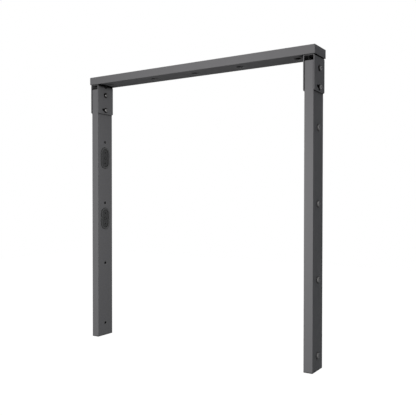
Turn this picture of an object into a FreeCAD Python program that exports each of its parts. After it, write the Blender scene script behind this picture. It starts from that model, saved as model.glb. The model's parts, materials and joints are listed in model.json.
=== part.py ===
import FreeCAD, Part
import os
import re

import Sketcher
from FreeCAD import Placement, Rotation, Vector

# Ceiling display mount: a flat tube under the ceiling carries two long posts on tilting brackets.
# Millimetres. X runs along the beam, Y from front to back and Z up. The origin is the centre of the
# beam's top face, which lies on the ceiling. Each post swings its foot forward about its pivot.

# Driving dimensions
SIZES = {
    # Beam
    "beam_length": 925,
    "beam_depth": 90,
    "beam_height": 28,
    "tube_wall": 2,
    "tube_corner": 1.2,
    "tube_bore_corner": 0.5,
    "beam_cap_flange": 2.5,
    "beam_cap_plug": 7,
    "plug_wall": 2,
    "plug_clearance": 0.2,
    "cap_edge_round": 0.8,
    "ceiling_hole_diameter": 9,
    "driver_opening_diameter": 28,
    "ceiling_hole_inner_reach": 180,
    "ceiling_hole_end_distance": 72.5,
    # Tilt brackets
    "sheet": 3,
    "bend_radius": 5,
    "ear_depth": 84,
    "ear_drop": 110,
    "ear_corner": 6,
    "ear_gap": 0.4,
    "pivot_below_beam": 37,
    "pivot_clearance": 0.05,
    "clamp_radius": 58.5,
    "tilt_limit": 15,
    "slot_clearance": 0.3,
    "notch_radius": 8,
    "notch_below_beam": 2.5,
    "notch_reach": 8,
    # Screws that hold the brackets to the beam
    "web_screw_diameter": 8,
    "web_head_diameter": 14,
    "web_head_height": 4.4,
    "web_socket_flats": 5,
    "web_washer_diameter": 16,
    "web_washer_thickness": 1.6,
    "web_screw_pitch": 30,
    "web_screw_end": 1,
    "nut_plate_width": 22,
    "nut_plate_depth": 50,
    "nut_plate_thickness": 6,
    # Posts
    "total_height": 1003.5,
    "post_width": 30,
    "post_depth": 80,
    "post_inset": 6.2,
    "post_top_gap": 15,
    "top_flange": 2,
    "top_plug": 5,
    "top_opening_width": 16,
    "top_opening_depth": 52,
    "foot_flange": 4,
    "foot_plug": 18,
    "foot_rib": 2,
    "foot_rib_reach": 18,
    # Screws through the ears
    "ear_screw_diameter": 8,
    "ear_head_diameter": 14,
    "ear_head_height": 4.4,
    "ear_socket_flats": 5,
    "ear_washer_diameter": 18,
    "ear_washer_thickness": 2,
    "ear_washer_gap": 0.3,
    "ear_screw_grip": 10,
    "sleeve_diameter": 16,
    "screw_hole_clearance": 0.25,
    "thread_clearance": 0.1,
    "head_edge": 1,
    "socket_rim": 1,
    "socket_depth": 3,
    "screw_tip": 1,
    # Display holes, and the plugged access holes across the tube from them
    "display_hole_diameter": 10.5,
    "display_hole_pitch": 236,
    "display_hole_count": 4,
    "lowest_hole_height": 48,
    "access_hole_diameter": 15,
    "plug_head_diameter": 18,
    "plug_head_height": 5.5,
    "plug_head_edge": 1.2,
    "plug_skin": 1.5,
    "plug_neck_depth": 5,
    "plug_lip": 0.5,
    # Cable glands in the left post
    "gland_width": 45,
    "gland_length": 82,
    "gland_below_hole": 61.6,
    "gland_count": 2,
    "gland_proud": 2,
    "gland_rim": 6,
    "gland_neck_wall": 3,
    "gland_edge_round": 0.8,
    "membrane_thickness": 3,
    "nipple_reach": 20.6,
    "nipple_diameter": 15,
    "nipple_height": 0.7,
    "nipple_hole_diameter": 5,
    "boss_diameter": 9,
    "boss_groove": 2,
    "boss_groove_depth": 1,
    "backing_overlap": 2,
    "backing_rim": 10,
    "backing_thickness": 2,
}

# Lengths worked out from the driving dimensions
DERIVED = {
    "post_centre": "beam_length / 2 - post_inset - post_width / 2",
    "tube_length": "beam_length - 2 * beam_cap_flange",
    "ceiling_hole_outer_reach": "beam_length / 2 - ceiling_hole_end_distance",
    "pivot_z": "-beam_height - pivot_below_beam",
    "clamp_z": "pivot_z - clamp_radius",
    "post_top_z": "-beam_height - sheet - post_top_gap",
    "post_tube_top_z": "post_top_z - top_flange",
    "post_tube_bottom_z": "foot_flange - total_height",
    "lowest_hole_z": "lowest_hole_height - total_height",
    "top_hole_z": "lowest_hole_z + (display_hole_count - 1) * display_hole_pitch",
    "lowest_gland_z": "top_hole_z - (gland_count - 1) * display_hole_pitch - gland_below_hole",
    "bracket_width": "post_width + 2 * (ear_gap + sheet)",
    "slot_half": "ear_screw_diameter / 2 + slot_clearance",
    "ear_washer_seat": "bracket_width / 2 + ear_washer_gap",
    "ear_head_seat": "ear_washer_seat + ear_washer_thickness",
    "ear_screw_tip": "post_width / 2 - tube_wall - ear_screw_grip",
    "web_head_seat": "sheet + web_washer_thickness",
    "web_screw_tip": "-tube_wall - nut_plate_thickness - web_screw_end",
    "post_face": "post_width / 2",
    "post_bore_face": "post_width / 2 - tube_wall",
}

ALIAS = re.compile(r"\b(" + "|".join(list(SIZES) + list(DERIVED)) + r")\b")

LEVEL_TOLERANCE = 0.001
LEAST_CUT = 1

doc = FreeCAD.newDocument("ceiling_display_mount")
sheet = doc.addObject("Spreadsheet::Sheet", "Sizes")
bodies = []


def fill_sheet():
    """Write each driving dimension and each formula to a cell with its alias."""
    cells = {name: str(number) for name, number in SIZES.items()}
    cells.update({name: "=" + formula for name, formula in DERIVED.items()})
    for row, (name, content) in enumerate(cells.items(), start=1):
        sheet.set(f"A{row}", name)
        sheet.set(f"B{row}", content)
        sheet.setAlias(f"B{row}", name)
    doc.recompute()


def sized(formula):
    """Point each size named in a formula at its cell."""
    return ALIAS.sub(r"Sizes.\1", formula)


def value(formula):
    """The number that a formula gives now."""
    return float(sheet.evalExpression(sized(formula)))


def bind(thing, setting, formula):
    """Tie one setting of an object to a formula of the sheet's sizes."""
    thing.setExpression(setting, sized(formula))


# Sketches

def new_body(label, x="0", y="0", z="0", turn=None):
    """A body of its own name, set at a place and turned by an axis and an angle."""
    body = doc.addObject("PartDesign::Body", label)
    body.Label = label
    if turn:
        body.Placement = Placement(Vector(), Rotation(*turn))
    bind(body, "Placement.Base.x", x)
    bind(body, "Placement.Base.y", y)
    bind(body, "Placement.Base.z", z)
    bodies.append(body)
    return body


def datum(body, role):
    """One of a body's own origin planes or axes."""
    return next(item for item in body.Origin.OriginFeatures if item.Role == role)


def new_sketch(body, plane, offset="0"):
    """A sketch on an origin plane, moved along the plane's normal."""
    sketch = body.newObject("Sketcher::SketchObject", body.Name + "_sketch")
    sketch.AttachmentSupport = (datum(body, plane), [""])
    sketch.MapMode = "FlatFace"
    bind(sketch, "AttachmentOffset.Base.z", offset)
    return sketch


def constrain(sketch, kind, where, formula):
    """Add one dimension to a sketch and tie it to a formula."""
    index = sketch.addConstraint(Sketcher.Constraint(kind, *where, value(formula)))
    name = f"size_{index}"
    sketch.renameConstraint(index, name)
    bind(sketch, "Constraints." + name, formula)


def fix_point(sketch, geometry, end, x, y):
    """Dimension a point from the sketch's origin."""
    constrain(sketch, "DistanceX", (-1, 1, geometry, end), x)
    constrain(sketch, "DistanceY", (-1, 1, geometry, end), y)


def circle(sketch, diameter, x="0", y="0"):
    """A circle by its diameter and centre."""
    centre = Vector(value(x), value(y), 0)
    index = sketch.addGeometry(Part.Circle(centre, Vector(0, 0, 1), value(diameter) / 2), False)
    constrain(sketch, "Diameter", (index,), diameter)
    fix_point(sketch, index, 3, x, y)


def arc_between(start, end, radius, turn):
    """The arc of under a half turn from start to end that turns left or right."""
    middle = (start + end) / 2
    chord = end - start
    rise = (radius * radius - chord.Length * chord.Length / 4) ** 0.5
    left = Vector(-chord.y, chord.x, 0).normalize()
    centre = middle + left * (rise if turn == "left" else -rise)
    if turn == "right":
        start, end = end, start
    angles = [Vector(1, 0, 0).getAngle(point - centre) for point in (start, end)]
    angles = [-angle if point.y < centre.y else angle for angle, point in zip(angles, (start, end))]
    return Part.ArcOfCircle(Part.Circle(centre, Vector(0, 0, 1), radius), *angles)


def outline(sketch, corners):
    """A closed outline of straight and round stretches.

    Each corner is (x, y) where a straight stretch follows it, or (x, y, radius, turn) where an arc
    does.
    """
    points = [Vector(value(corner[0]), value(corner[1]), 0) for corner in corners]
    stretches = []
    for place, corner in enumerate(corners):
        start, end = points[place], points[(place + 1) % len(points)]
        if len(corner) == 2:
            index = sketch.addGeometry(Part.LineSegment(start, end), False)
            ends = (1, 2)
        else:
            radius, turn = corner[2:]
            index = sketch.addGeometry(arc_between(start, end, value(radius), turn), False)
            ends = (1, 2) if turn == "left" else (2, 1)
        stretches.append((index, ends))
    for place, (index, ends) in enumerate(stretches):
        before, before_ends = stretches[place - 1]
        sketch.addConstraint(Sketcher.Constraint("Coincident", before, before_ends[1], index, ends[0]))
    for corner, (index, ends) in zip(corners, stretches):
        fix_point(sketch, index, ends[0], corner[0], corner[1])
        if len(corner) > 2:
            constrain(sketch, "Radius", (index,), corner[2])


def rectangle(sketch, width, depth, x="0", y="0"):
    """A rectangle by its sides and centre."""
    left, right = f"{x} - ({width}) / 2", f"{x} + ({width}) / 2"
    low, high = f"{y} - ({depth}) / 2", f"{y} + ({depth}) / 2"
    outline(sketch, [(left, low), (right, low), (right, high), (left, high)])


def rounded_rectangle(sketch, width, depth, corner, x="0", y="0"):
    """A rectangle with round corners, by its sides, its corner radius and its centre."""
    left, right = f"{x} - ({width}) / 2", f"{x} + ({width}) / 2"
    low, high = f"{y} - ({depth}) / 2", f"{y} + ({depth}) / 2"
    inner_left, inner_right = f"{left} + ({corner})", f"{right} - ({corner})"
    inner_low, inner_high = f"{low} + ({corner})", f"{high} - ({corner})"
    outline(sketch, [
        (inner_left, low), (inner_right, low, corner, "left"),
        (right, inner_low), (right, inner_high, corner, "left"),
        (inner_right, high), (inner_left, high, corner, "left"),
        (left, inner_high), (left, inner_low, corner, "left"),
    ])


def stadium(sketch, width, length, y="0"):
    """An upright stadium on the sketch's vertical axis, by its width, length and centre height."""
    side, reach = f"({width}) / 2", f"(({length}) - ({width})) / 2"
    outline(sketch, [
        (side, f"{y} - {reach}"), (side, f"{y} + {reach}", side, "left"),
        ("0", f"{y} + ({length}) / 2", side, "left"), (f"-{side}", f"{y} + {reach}"),
        (f"-{side}", f"{y} - {reach}", side, "left"), ("0", f"{y} - ({length}) / 2", side, "left"),
    ])


# Features

def grow(kind, body, sketch, length, direction):
    """Pad or pocket a sketch along its normal (1), against it (-1) or both ways (0)."""
    feature = body.newObject(kind, body.Name + "_feature")
    feature.Profile = sketch
    feature.SideType = "One side" if direction else "Symmetric"
    feature.Reversed = direction == (-1 if kind.endswith("Pad") else 1)
    bind(feature, "Length", length)
    sketch.Visibility = False
    return feature


def pad(body, sketch, length, direction=1):
    """Add a sketch's area over a length."""
    return grow("PartDesign::Pad", body, sketch, length, direction)


def pocket(body, sketch, length, direction=0):
    """Cut a sketch's area over a length."""
    return grow("PartDesign::Pocket", body, sketch, length, direction)


def turned(body, sketch):
    """Turn a sketch fully round the body's X axis."""
    feature = body.newObject("PartDesign::Revolution", body.Name + "_turned")
    feature.Profile = sketch
    feature.ReferenceAxis = (sketch, ["H_Axis"])
    feature.Angle = 360
    return feature


def row_up(body, feature, pitch, count):
    """Repeat a feature upwards at a pitch."""
    pattern = body.newObject("PartDesign::LinearPattern", body.Name + "_row")
    pattern.Originals = [feature]
    pattern.Direction = (datum(body, "Z_Axis"), [""])
    bind(pattern, "Length", f"{pitch} * ({count} - 1)")
    bind(pattern, "Occurrences", count)
    body.Tip = pattern
    return pattern


def mirrored(body, features, plane):
    """Repeat features on the other side of an origin plane."""
    pattern = body.newObject("PartDesign::Mirrored", body.Name + "_mirrored")
    pattern.Originals = features
    pattern.MirrorPlane = (datum(body, plane), [""])
    body.Tip = pattern
    return pattern


def round_edges(body, radius, wanted):
    """Round the edges of a body so far that a test picks."""
    doc.recompute()
    base = body.Tip
    names = [f"Edge{place}" for place, edge in enumerate(base.Shape.Edges, start=1) if wanted(edge)]
    feature = body.newObject("PartDesign::Fillet", body.Name + "_round")
    feature.Base = (base, names)
    bind(feature, "Radius", radius)
    return feature


def lies_at(edge, axis, formula):
    """Whether an edge lies wholly at one level of an axis."""
    box = edge.BoundBox
    level = value(formula)
    low, high = getattr(box, axis + "Min"), getattr(box, axis + "Max")
    return abs(low - level) < LEVEL_TOLERANCE and abs(high - level) < LEVEL_TOLERANCE


# Beam

def make_beam():
    """The rectangular tube with its ceiling holes, driver openings, cable way and screw holes."""
    body = new_body("beam_tube")
    section = new_sketch(body, "YZ_Plane")
    middle = "-beam_height / 2"
    rounded_rectangle(section, "beam_depth", "beam_height", "tube_corner", y=middle)
    rounded_rectangle(section, "beam_depth - 2 * tube_wall", "beam_height - 2 * tube_wall",
                      "tube_bore_corner", y=middle)
    pad(body, section, "tube_length", 0)

    upper = new_sketch(body, "XY_Plane", middle)
    lower = new_sketch(body, "XY_Plane", middle)
    for reach in ("ceiling_hole_inner_reach", "ceiling_hole_outer_reach"):
        for side in (-1, 1):
            circle(upper, "ceiling_hole_diameter", f"{side} * {reach}")
            circle(lower, "driver_opening_diameter", f"{side} * {reach}")
    circle(upper, "driver_opening_diameter")
    circle(lower, "driver_opening_diameter")
    for side in (-1, 1):
        for row in (-1, 1):
            circle(lower, "web_screw_diameter + 2 * screw_hole_clearance",
                   f"{side} * post_centre", f"{row} * web_screw_pitch / 2")
    pocket(body, upper, "beam_height", 1)
    pocket(body, lower, "beam_height", -1)


def make_beam_cap(name, side):
    """A plastic plug that closes one end of the beam."""
    turn = (Vector(0, 0, 1), 0 if side > 0 else 180)
    body = new_body(f"beam_end_cap_{name}", f"{side} * beam_length / 2", "0", "-beam_height / 2", turn)
    flange = new_sketch(body, "YZ_Plane")
    rounded_rectangle(flange, "beam_depth", "beam_height", "tube_corner")
    pad(body, flange, "beam_cap_flange", -1)
    round_edges(body, "cap_edge_round", lambda edge: lies_at(edge, "X", "0"))
    plug = new_sketch(body, "YZ_Plane", "-beam_cap_flange")
    slack = "2 * (tube_wall + plug_clearance)"
    rounded_rectangle(plug, f"beam_depth - {slack}", f"beam_height - {slack}", "tube_bore_corner")
    rectangle(plug, f"beam_depth - {slack} - 2 * plug_wall", f"beam_height - {slack} - 2 * plug_wall")
    pad(body, plug, "beam_cap_plug", -1)


# Tilt brackets

def slot_corners():
    """The arc slot about the pivot: straight down at rest, and forward by the tilt."""
    inner, outer = "(clamp_radius - slot_half)", "(clamp_radius + slot_half)"
    pivot = "-pivot_below_beam"
    sine, cosine = "sin(tilt_limit)", "cos(tilt_limit)"
    return [
        ("0", f"{pivot} - {inner}", inner, "right"),
        (f"-{inner} * {sine}", f"{pivot} - {inner} * {cosine}", "slot_half", "left"),
        (f"-clamp_radius * {sine} - slot_half * {cosine}",
         f"{pivot} - clamp_radius * {cosine} + slot_half * {sine}", "slot_half", "left"),
        (f"-{outer} * {sine}", f"{pivot} - {outer} * {cosine}", outer, "left"),
        ("0", f"{pivot} - {outer}", "slot_half", "left"),
        ("slot_half", f"{pivot} - clamp_radius", "slot_half", "left"),
    ]


def make_bracket(name, side):
    """A U of bent sheet under the beam: a web and two ears that hold a post between them."""
    body = new_body(f"tilt_bracket_{name}", f"{side} * post_centre", "0", "-beam_height")
    half, bore = "bracket_width / 2", "(bracket_width / 2 - sheet)"
    bottom, bend = "-ear_drop", "bend_radius"
    inner_bend = "bend_radius - sheet"
    profile = new_sketch(body, "XZ_Plane")
    outline(profile, [
        (f"-{half}", bottom), (f"-{bore}", bottom),
        (f"-{bore}", f"-{bend}", inner_bend, "right"), (f"-{half} + {bend}", "-sheet"),
        (f"{half} - {bend}", "-sheet", inner_bend, "right"), (bore, f"-{bend}"),
        (bore, bottom), (half, bottom),
        (half, f"-{bend}", bend, "left"), (f"{half} - {bend}", "0"),
        (f"-{half} + {bend}", "0", bend, "left"), (f"-{half}", f"-{bend}"),
    ])
    pad(body, profile, "ear_depth", 0)
    round_edges(body, "ear_corner", lambda edge: (
        lies_at(edge, "Z", bottom) and edge.BoundBox.YLength < value("sheet")))

    holes = new_sketch(body, "YZ_Plane")
    circle(holes, "ear_screw_diameter + 2 * pivot_clearance", "0", "-pivot_below_beam")
    outline(holes, slot_corners())
    pocket(body, holes, "bracket_width + sheet")

    web_holes = new_sketch(body, "XY_Plane")
    for row in (-1, 1):
        circle(web_holes, "web_screw_diameter + 2 * screw_hole_clearance", "0",
               f"{row} * web_screw_pitch / 2")
    pocket(body, web_holes, "3 * sheet")

    notch = new_sketch(body, "YZ_Plane", f"{-side} * ({half} - notch_reach)")
    circle(notch, "2 * notch_radius", "0", "-notch_below_beam")
    pocket(body, notch, "notch_reach + sheet", -side)


def make_nut_plate(name, side):
    """A threaded plate on the beam's lower wall, inside the tube."""
    body = new_body(f"nut_plate_{name}", f"{side} * post_centre", "0", "tube_wall - beam_height")
    plate = new_sketch(body, "XY_Plane")
    rectangle(plate, "nut_plate_width", "nut_plate_depth")
    for row in (-1, 1):
        circle(plate, "web_screw_diameter + 2 * thread_clearance", "0", f"{row} * web_screw_pitch / 2")
    pad(body, plate, "nut_plate_thickness")


# Screws and washers. Each group lies along its body's X axis, heads outward.

def screw(body, family, seat, tip, y="0"):
    """One button head screw from its tip to its head, on a line parallel to the X axis."""
    shank, head = f"({family}_screw_diameter / 2)", f"({family}_head_diameter / 2)"
    top = f"{seat} + {family}_head_height"
    flat = f"({family}_socket_flats / sqrt(3) + socket_rim)"
    profile = new_sketch(body, "XZ_Plane", f"-({y})")
    outline(profile, [
        (tip, "0"), (tip, f"{shank} - screw_tip"), (f"{tip} + screw_tip", shank), (seat, shank),
        (seat, head), (f"{seat} + head_edge", head, head, "right"), (top, flat), (top, "0"),
    ])
    body_of_screw = turned(body, profile)
    socket = new_sketch(body, "YZ_Plane", top)
    half, reach = f"({family}_socket_flats / 2)", f"({family}_socket_flats / sqrt(3))"
    outline(socket, [
        (f"{y} + {half}", f"{reach} / 2"), (y, reach), (f"{y} - {half}", f"{reach} / 2"),
        (f"{y} - {half}", f"-{reach} / 2"), (y, f"-{reach}"), (f"{y} + {half}", f"-{reach} / 2"),
    ])
    return [body_of_screw, pocket(body, socket, "socket_depth", -1)]


def washer(body, family, seat, y="0"):
    """One flat washer whose inner face lies at the seat."""
    ring = new_sketch(body, "YZ_Plane", seat)
    circle(ring, f"{family}_washer_diameter", y)
    circle(ring, f"{family}_screw_diameter + 2 * screw_hole_clearance", y)
    return [pad(body, ring, f"{family}_washer_thickness")]


def make_web_screws(name, side):
    """Two screws with washers from below, through the bracket's web into the nut plate."""
    place = (f"{side} * post_centre", "0", "-beam_height", (Vector(0, 1, 0), 90))
    y = "web_screw_pitch / 2"
    screws = new_body(f"bracket_screws_{name}", *place)
    mirrored(screws, screw(screws, "web", "web_head_seat", "web_screw_tip", y), "XZ_Plane")
    washers = new_body(f"bracket_washers_{name}", *place)
    mirrored(washers, washer(washers, "web", "sheet", y), "XZ_Plane")


def make_ear_screws(name, side, kind, height):
    """One screw with its washer on each ear, and the threaded sleeve between the post's walls."""
    place = (f"{side} * post_centre", "0", height)
    screws = new_body(f"{kind}_screws_{name}", *place)
    mirrored(screws, screw(screws, "ear", "ear_head_seat", "ear_screw_tip"), "YZ_Plane")
    washers = new_body(f"{kind}_washers_{name}", *place)
    mirrored(washers, washer(washers, "ear", "ear_washer_seat"), "YZ_Plane")
    sleeve = new_body(f"{kind}_sleeve_{name}", *place)
    ring = new_sketch(sleeve, "YZ_Plane")
    circle(ring, "sleeve_diameter")
    circle(ring, "ear_screw_diameter + 2 * thread_clearance")
    pad(sleeve, ring, "post_width - 2 * tube_wall", 0)


# Posts

def make_post(name, side):
    """A rectangular tube with display holes inward, access holes outward and ear screw holes."""
    body = new_body(f"post_tube_{name}", f"{side} * post_centre")
    section = new_sketch(body, "XY_Plane", "post_tube_bottom_z")
    rounded_rectangle(section, "post_width", "post_depth", "tube_corner")
    rounded_rectangle(section, "post_width - 2 * tube_wall", "post_depth - 2 * tube_wall",
                      "tube_bore_corner")
    pad(body, section, "post_tube_top_z - post_tube_bottom_z")

    crossing = new_sketch(body, "YZ_Plane")
    for height in ("pivot_z", "clamp_z"):
        circle(crossing, "ear_screw_diameter + 2 * screw_hole_clearance", "0", height)
    pocket(body, crossing, "2 * post_width")

    display_hole = new_sketch(body, "YZ_Plane")
    circle(display_hole, "display_hole_diameter", "0", "lowest_hole_z")
    row_up(body, pocket(body, display_hole, "post_width", -side), "display_hole_pitch",
           "display_hole_count")

    access_hole = new_sketch(body, "YZ_Plane")
    circle(access_hole, "access_hole_diameter", "0", "lowest_hole_z")
    row_up(body, pocket(body, access_hole, "post_width", side), "display_hole_pitch",
           "display_hole_count")
    return body


def cut_gland_openings(body, side):
    """Long holes through the inner wall for the cable glands."""
    opening = new_sketch(body, "YZ_Plane")
    slack = "2 * (gland_rim - gland_neck_wall - plug_clearance)"
    stadium(opening, f"gland_width - {slack}", f"gland_length - {slack}", "lowest_gland_z")
    row_up(body, pocket(body, opening, "post_width", -side), "display_hole_pitch", "gland_count")


def make_top_cap(name, side):
    """A plastic edge cap on the post's upper end, open in the middle for cables."""
    body = new_body(f"post_top_cap_{name}", f"{side} * post_centre", "0", "post_top_z")
    flange = new_sketch(body, "XY_Plane")
    rounded_rectangle(flange, "post_width", "post_depth", "tube_corner")
    stadium(flange, "top_opening_width", "top_opening_depth")
    pad(body, flange, "top_flange", -1)
    plug = new_sketch(body, "XY_Plane", "-top_flange")
    slack = "2 * (tube_wall + plug_clearance)"
    rounded_rectangle(plug, f"post_width - {slack}", f"post_depth - {slack}", "tube_bore_corner")
    rectangle(plug, f"post_width - {slack} - 2 * plug_wall", f"post_depth - {slack} - 2 * plug_wall")
    pad(body, plug, "top_plug", -1)


def make_foot_cap(name, side):
    """A ribbed plastic plug in the post's lower end."""
    body = new_body(f"post_foot_cap_{name}", f"{side} * post_centre", "0", "-total_height")
    flange = new_sketch(body, "XY_Plane")
    rounded_rectangle(flange, "post_width", "post_depth", "tube_corner")
    pad(body, flange, "foot_flange")
    round_edges(body, "cap_edge_round", lambda edge: lies_at(edge, "Z", "0"))
    plug = new_sketch(body, "XY_Plane", "foot_flange")
    slack = "2 * (tube_wall + plug_clearance)"
    bore = f"post_width - {slack} - 2 * plug_wall"
    rounded_rectangle(plug, f"post_width - {slack}", f"post_depth - {slack}", "tube_bore_corner")
    rectangle(plug, bore, f"post_depth - {slack} - 2 * plug_wall")
    pad(body, plug, "foot_plug")
    ribs = new_sketch(body, "XY_Plane", "foot_flange")
    for row in (-1, 1):
        rectangle(ribs, f"{bore} + plug_wall", "foot_rib", y=f"{row} * foot_rib_reach")
    pad(body, ribs, "foot_plug")


def make_access_plugs(name, side):
    """Four low round plugs that snap into the access holes of the outer wall."""
    turn = (Vector(0, 0, 1), 0 if side > 0 else 180)
    body = new_body(f"access_plugs_{name}", f"{side} * post_centre", "0", "lowest_hole_z", turn)
    face, wall = "post_face", "(post_bore_face - plug_clearance)"
    neck = "(access_hole_diameter / 2 - plug_clearance)"
    bore, head = f"({neck} - plug_skin)", "(plug_head_diameter / 2)"
    tip, top = "(post_face - plug_neck_depth)", "(post_face + plug_head_height)"
    profile = new_sketch(body, "XZ_Plane")
    outline(profile, [
        (tip, bore), (tip, f"{neck} - plug_lip"), (wall, f"{neck} + plug_clearance + plug_lip"),
        (wall, neck), (face, neck), (face, head),
        (f"{top} - plug_head_edge", head, "plug_head_edge", "right"),
        (top, f"{head} - plug_head_edge"), (top, "0"), (f"{top} - plug_skin", "0"),
        (f"{top} - plug_skin", bore),
    ])
    row_up(body, turned(body, profile), "display_hole_pitch", "display_hole_count")


# Cable glands. Each is built on its post's face, which looks along the body's X axis.

def gland_body(label, place):
    """A body at the centre of one cable gland, counted from the lowest."""
    height = f"lowest_gland_z + {place} * display_hole_pitch"
    return new_body(label, "-post_centre + post_face", "0", height)


def make_gland(name, place):
    """A long cable gland: a frame outside, a soft membrane in it and a backing ring inside."""
    opening = ("gland_width - 2 * gland_rim", "gland_length - 2 * gland_rim")
    frame = gland_body(f"{name}_cable_gland_frame", place)
    bezel = new_sketch(frame, "YZ_Plane")
    stadium(bezel, "gland_width", "gland_length")
    stadium(bezel, *opening)
    pad(frame, bezel, "gland_proud")
    round_edges(frame, "gland_edge_round", lambda edge: (
        lies_at(edge, "X", "gland_proud") and edge_reach(edge) > value("(gland_width - gland_rim) / 2")))
    neck = new_sketch(frame, "YZ_Plane")
    stadium(neck, f"{opening[0]} + 2 * gland_neck_wall", f"{opening[1]} + 2 * gland_neck_wall")
    stadium(neck, *opening)
    pad(frame, neck, "tube_wall", -1)

    membrane = gland_body(f"{name}_cable_gland_membrane", place)
    slab = new_sketch(membrane, "YZ_Plane", "-tube_wall")
    stadium(slab, f"{opening[0]} - 2 * plug_clearance", f"{opening[1]} - 2 * plug_clearance")
    for row in (-1, 1):
        circle(slab, "nipple_hole_diameter", "0", f"{row} * nipple_reach")
    pad(membrane, slab, "membrane_thickness")
    skin = "membrane_thickness - tube_wall"
    collars = new_sketch(membrane, "YZ_Plane", skin)
    for row in (-1, 1):
        circle(collars, "nipple_diameter", "0", f"{row} * nipple_reach")
        circle(collars, "nipple_hole_diameter", "0", f"{row} * nipple_reach")
    pad(membrane, collars, "nipple_height")
    groove = new_sketch(membrane, "YZ_Plane", skin)
    circle(groove, "boss_diameter")
    circle(groove, "boss_diameter + 2 * boss_groove")
    pocket(membrane, groove, "boss_groove_depth", -1)

    backing = gland_body(f"{name}_cable_gland_backing", place)
    ring = new_sketch(backing, "YZ_Plane", "-tube_wall")
    stadium(ring, "gland_width + 2 * backing_overlap", "gland_length + 2 * backing_overlap")
    stadium(ring, "gland_width + 2 * (backing_overlap - backing_rim)",
            "gland_length + 2 * (backing_overlap - backing_rim)")
    pad(backing, ring, "backing_thickness", -1)


def edge_reach(edge):
    """How far an edge's middle lies from the body's X axis."""
    middle = edge.valueAt((edge.FirstParameter + edge.LastParameter) / 2)
    return (middle.y ** 2 + middle.z ** 2) ** 0.5


# Assembly

def check_model():
    """Stop unless every object is sound, every pocket cuts and every piece is a valid solid."""
    for item in doc.Objects:
        if "Invalid" in item.State or "Error" in item.State:
            raise RuntimeError(f"{item.Label} failed: {item.State}")
        if item.TypeId == "PartDesign::Pocket":
            if item.Shape.Volume > item.BaseFeature.Shape.Volume - LEAST_CUT:
                raise RuntimeError(f"{item.Label} cuts nothing")
    for body in bodies:
        shape = body.Shape
        if shape.isNull() or not shape.isValid() or not shape.Solids:
            raise RuntimeError(f"{body.Label} has no valid solid")


def main():
    """Build every piece and write one file for each."""
    fill_sheet()
    make_beam()
    for name, side in (("left", -1), ("right", 1)):
        make_beam_cap(name, side)
        make_bracket(name, side)
        make_nut_plate(name, side)
        make_web_screws(name, side)
        post = make_post(name, side)
        if name == "left":
            cut_gland_openings(post, side)
        make_top_cap(name, side)
        make_foot_cap(name, side)
        make_ear_screws(name, side, "pivot", "pivot_z")
        make_ear_screws(name, side, "clamp", "clamp_z")
        make_access_plugs(name, side)
    make_gland("lower", 0)
    make_gland("upper", 1)

    doc.recompute()
    check_model()
    os.makedirs("parts", exist_ok=True)
    for body in bodies:
        body.Shape.exportStep(f"parts/{body.Label}.step")
        print(f"{body.Label}: {len(body.Shape.Solids)} solids, {body.Shape.Volume:.0f} cubic mm")


main()
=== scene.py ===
"""Ceiling display mount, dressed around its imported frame.

A flat tube under the ceiling carries two long posts on tilting brackets of bent sheet. Lengths are
in metres, X along the beam, Y from front to back and Z up, with the origin on the ceiling.
"""

import json
import logging
from dataclasses import dataclass, field, replace
from enum import Enum
from math import atan2, cos, pi, radians, sin, sqrt, tan
from typing import Any

import bmesh
import bpy
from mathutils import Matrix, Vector


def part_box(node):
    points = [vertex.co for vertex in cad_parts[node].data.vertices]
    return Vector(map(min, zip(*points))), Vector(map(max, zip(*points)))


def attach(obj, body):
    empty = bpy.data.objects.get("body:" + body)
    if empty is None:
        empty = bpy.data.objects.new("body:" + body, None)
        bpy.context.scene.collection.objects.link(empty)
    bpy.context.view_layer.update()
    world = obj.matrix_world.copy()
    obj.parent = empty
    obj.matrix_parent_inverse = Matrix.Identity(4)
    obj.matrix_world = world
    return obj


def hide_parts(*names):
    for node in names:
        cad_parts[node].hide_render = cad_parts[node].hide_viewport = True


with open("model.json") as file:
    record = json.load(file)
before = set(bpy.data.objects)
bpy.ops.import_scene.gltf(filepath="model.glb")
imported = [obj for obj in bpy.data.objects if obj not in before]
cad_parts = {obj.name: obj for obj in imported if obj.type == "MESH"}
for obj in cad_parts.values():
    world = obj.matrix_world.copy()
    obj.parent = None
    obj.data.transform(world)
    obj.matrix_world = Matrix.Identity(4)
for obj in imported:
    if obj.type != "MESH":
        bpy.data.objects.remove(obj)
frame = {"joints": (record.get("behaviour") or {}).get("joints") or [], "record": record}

LOG = logging.getLogger("ceiling_display_mount")

MM = 0.001
QUADRANT_STEPS = 12
ROUND_STEPS = 4
SMALLEST_CORNER = 0.01 * MM
MERGE_DISTANCE = 0.001 * MM
SMOOTH_LIMIT = radians(32)
OVERRUN = 1.0 * MM
BEAM = "ceiling_beam"

Pair = tuple[float, float]
Triple = tuple[float, float, float]
Profile = list[Pair]
Piece = bpy.types.Object
Socket = bpy.types.NodeSocket


class Side(Enum):
    """The two ends of the beam, by the sign of X."""

    LEFT = -1
    RIGHT = 1

    @property
    def word(self) -> str:
        """The side's name in the names of pieces and nodes."""
        return self.name.lower()

    @property
    def post(self) -> str:
        """The body that tilts on this side."""
        return f"{self.word}_post"

    @property
    def inward(self) -> float:
        """The turn that points a shape along X at the other side."""
        return 0.0 if self is Side.LEFT else pi

    @property
    def outward(self) -> float:
        """The turn that points a shape along X away from the other side."""
        return pi - self.inward

    def node(self, part: str) -> str:
        """The name of this side's node of a part."""
        return f"{part}_{self.word}"

    def box(self, part: str) -> "Extent":
        """The box of this side's node of a part."""
        return Extent.of(self.node(part))


class Axis(Enum):
    """The direction in which a shape's levels are counted."""

    X = "x"
    Z = "z"

    def point(self, u: float, v: float, level: float) -> Triple:
        """The place of a point of an outline at a level."""
        return (level, u, v) if self is Axis.X else (u, v, level)


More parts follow.
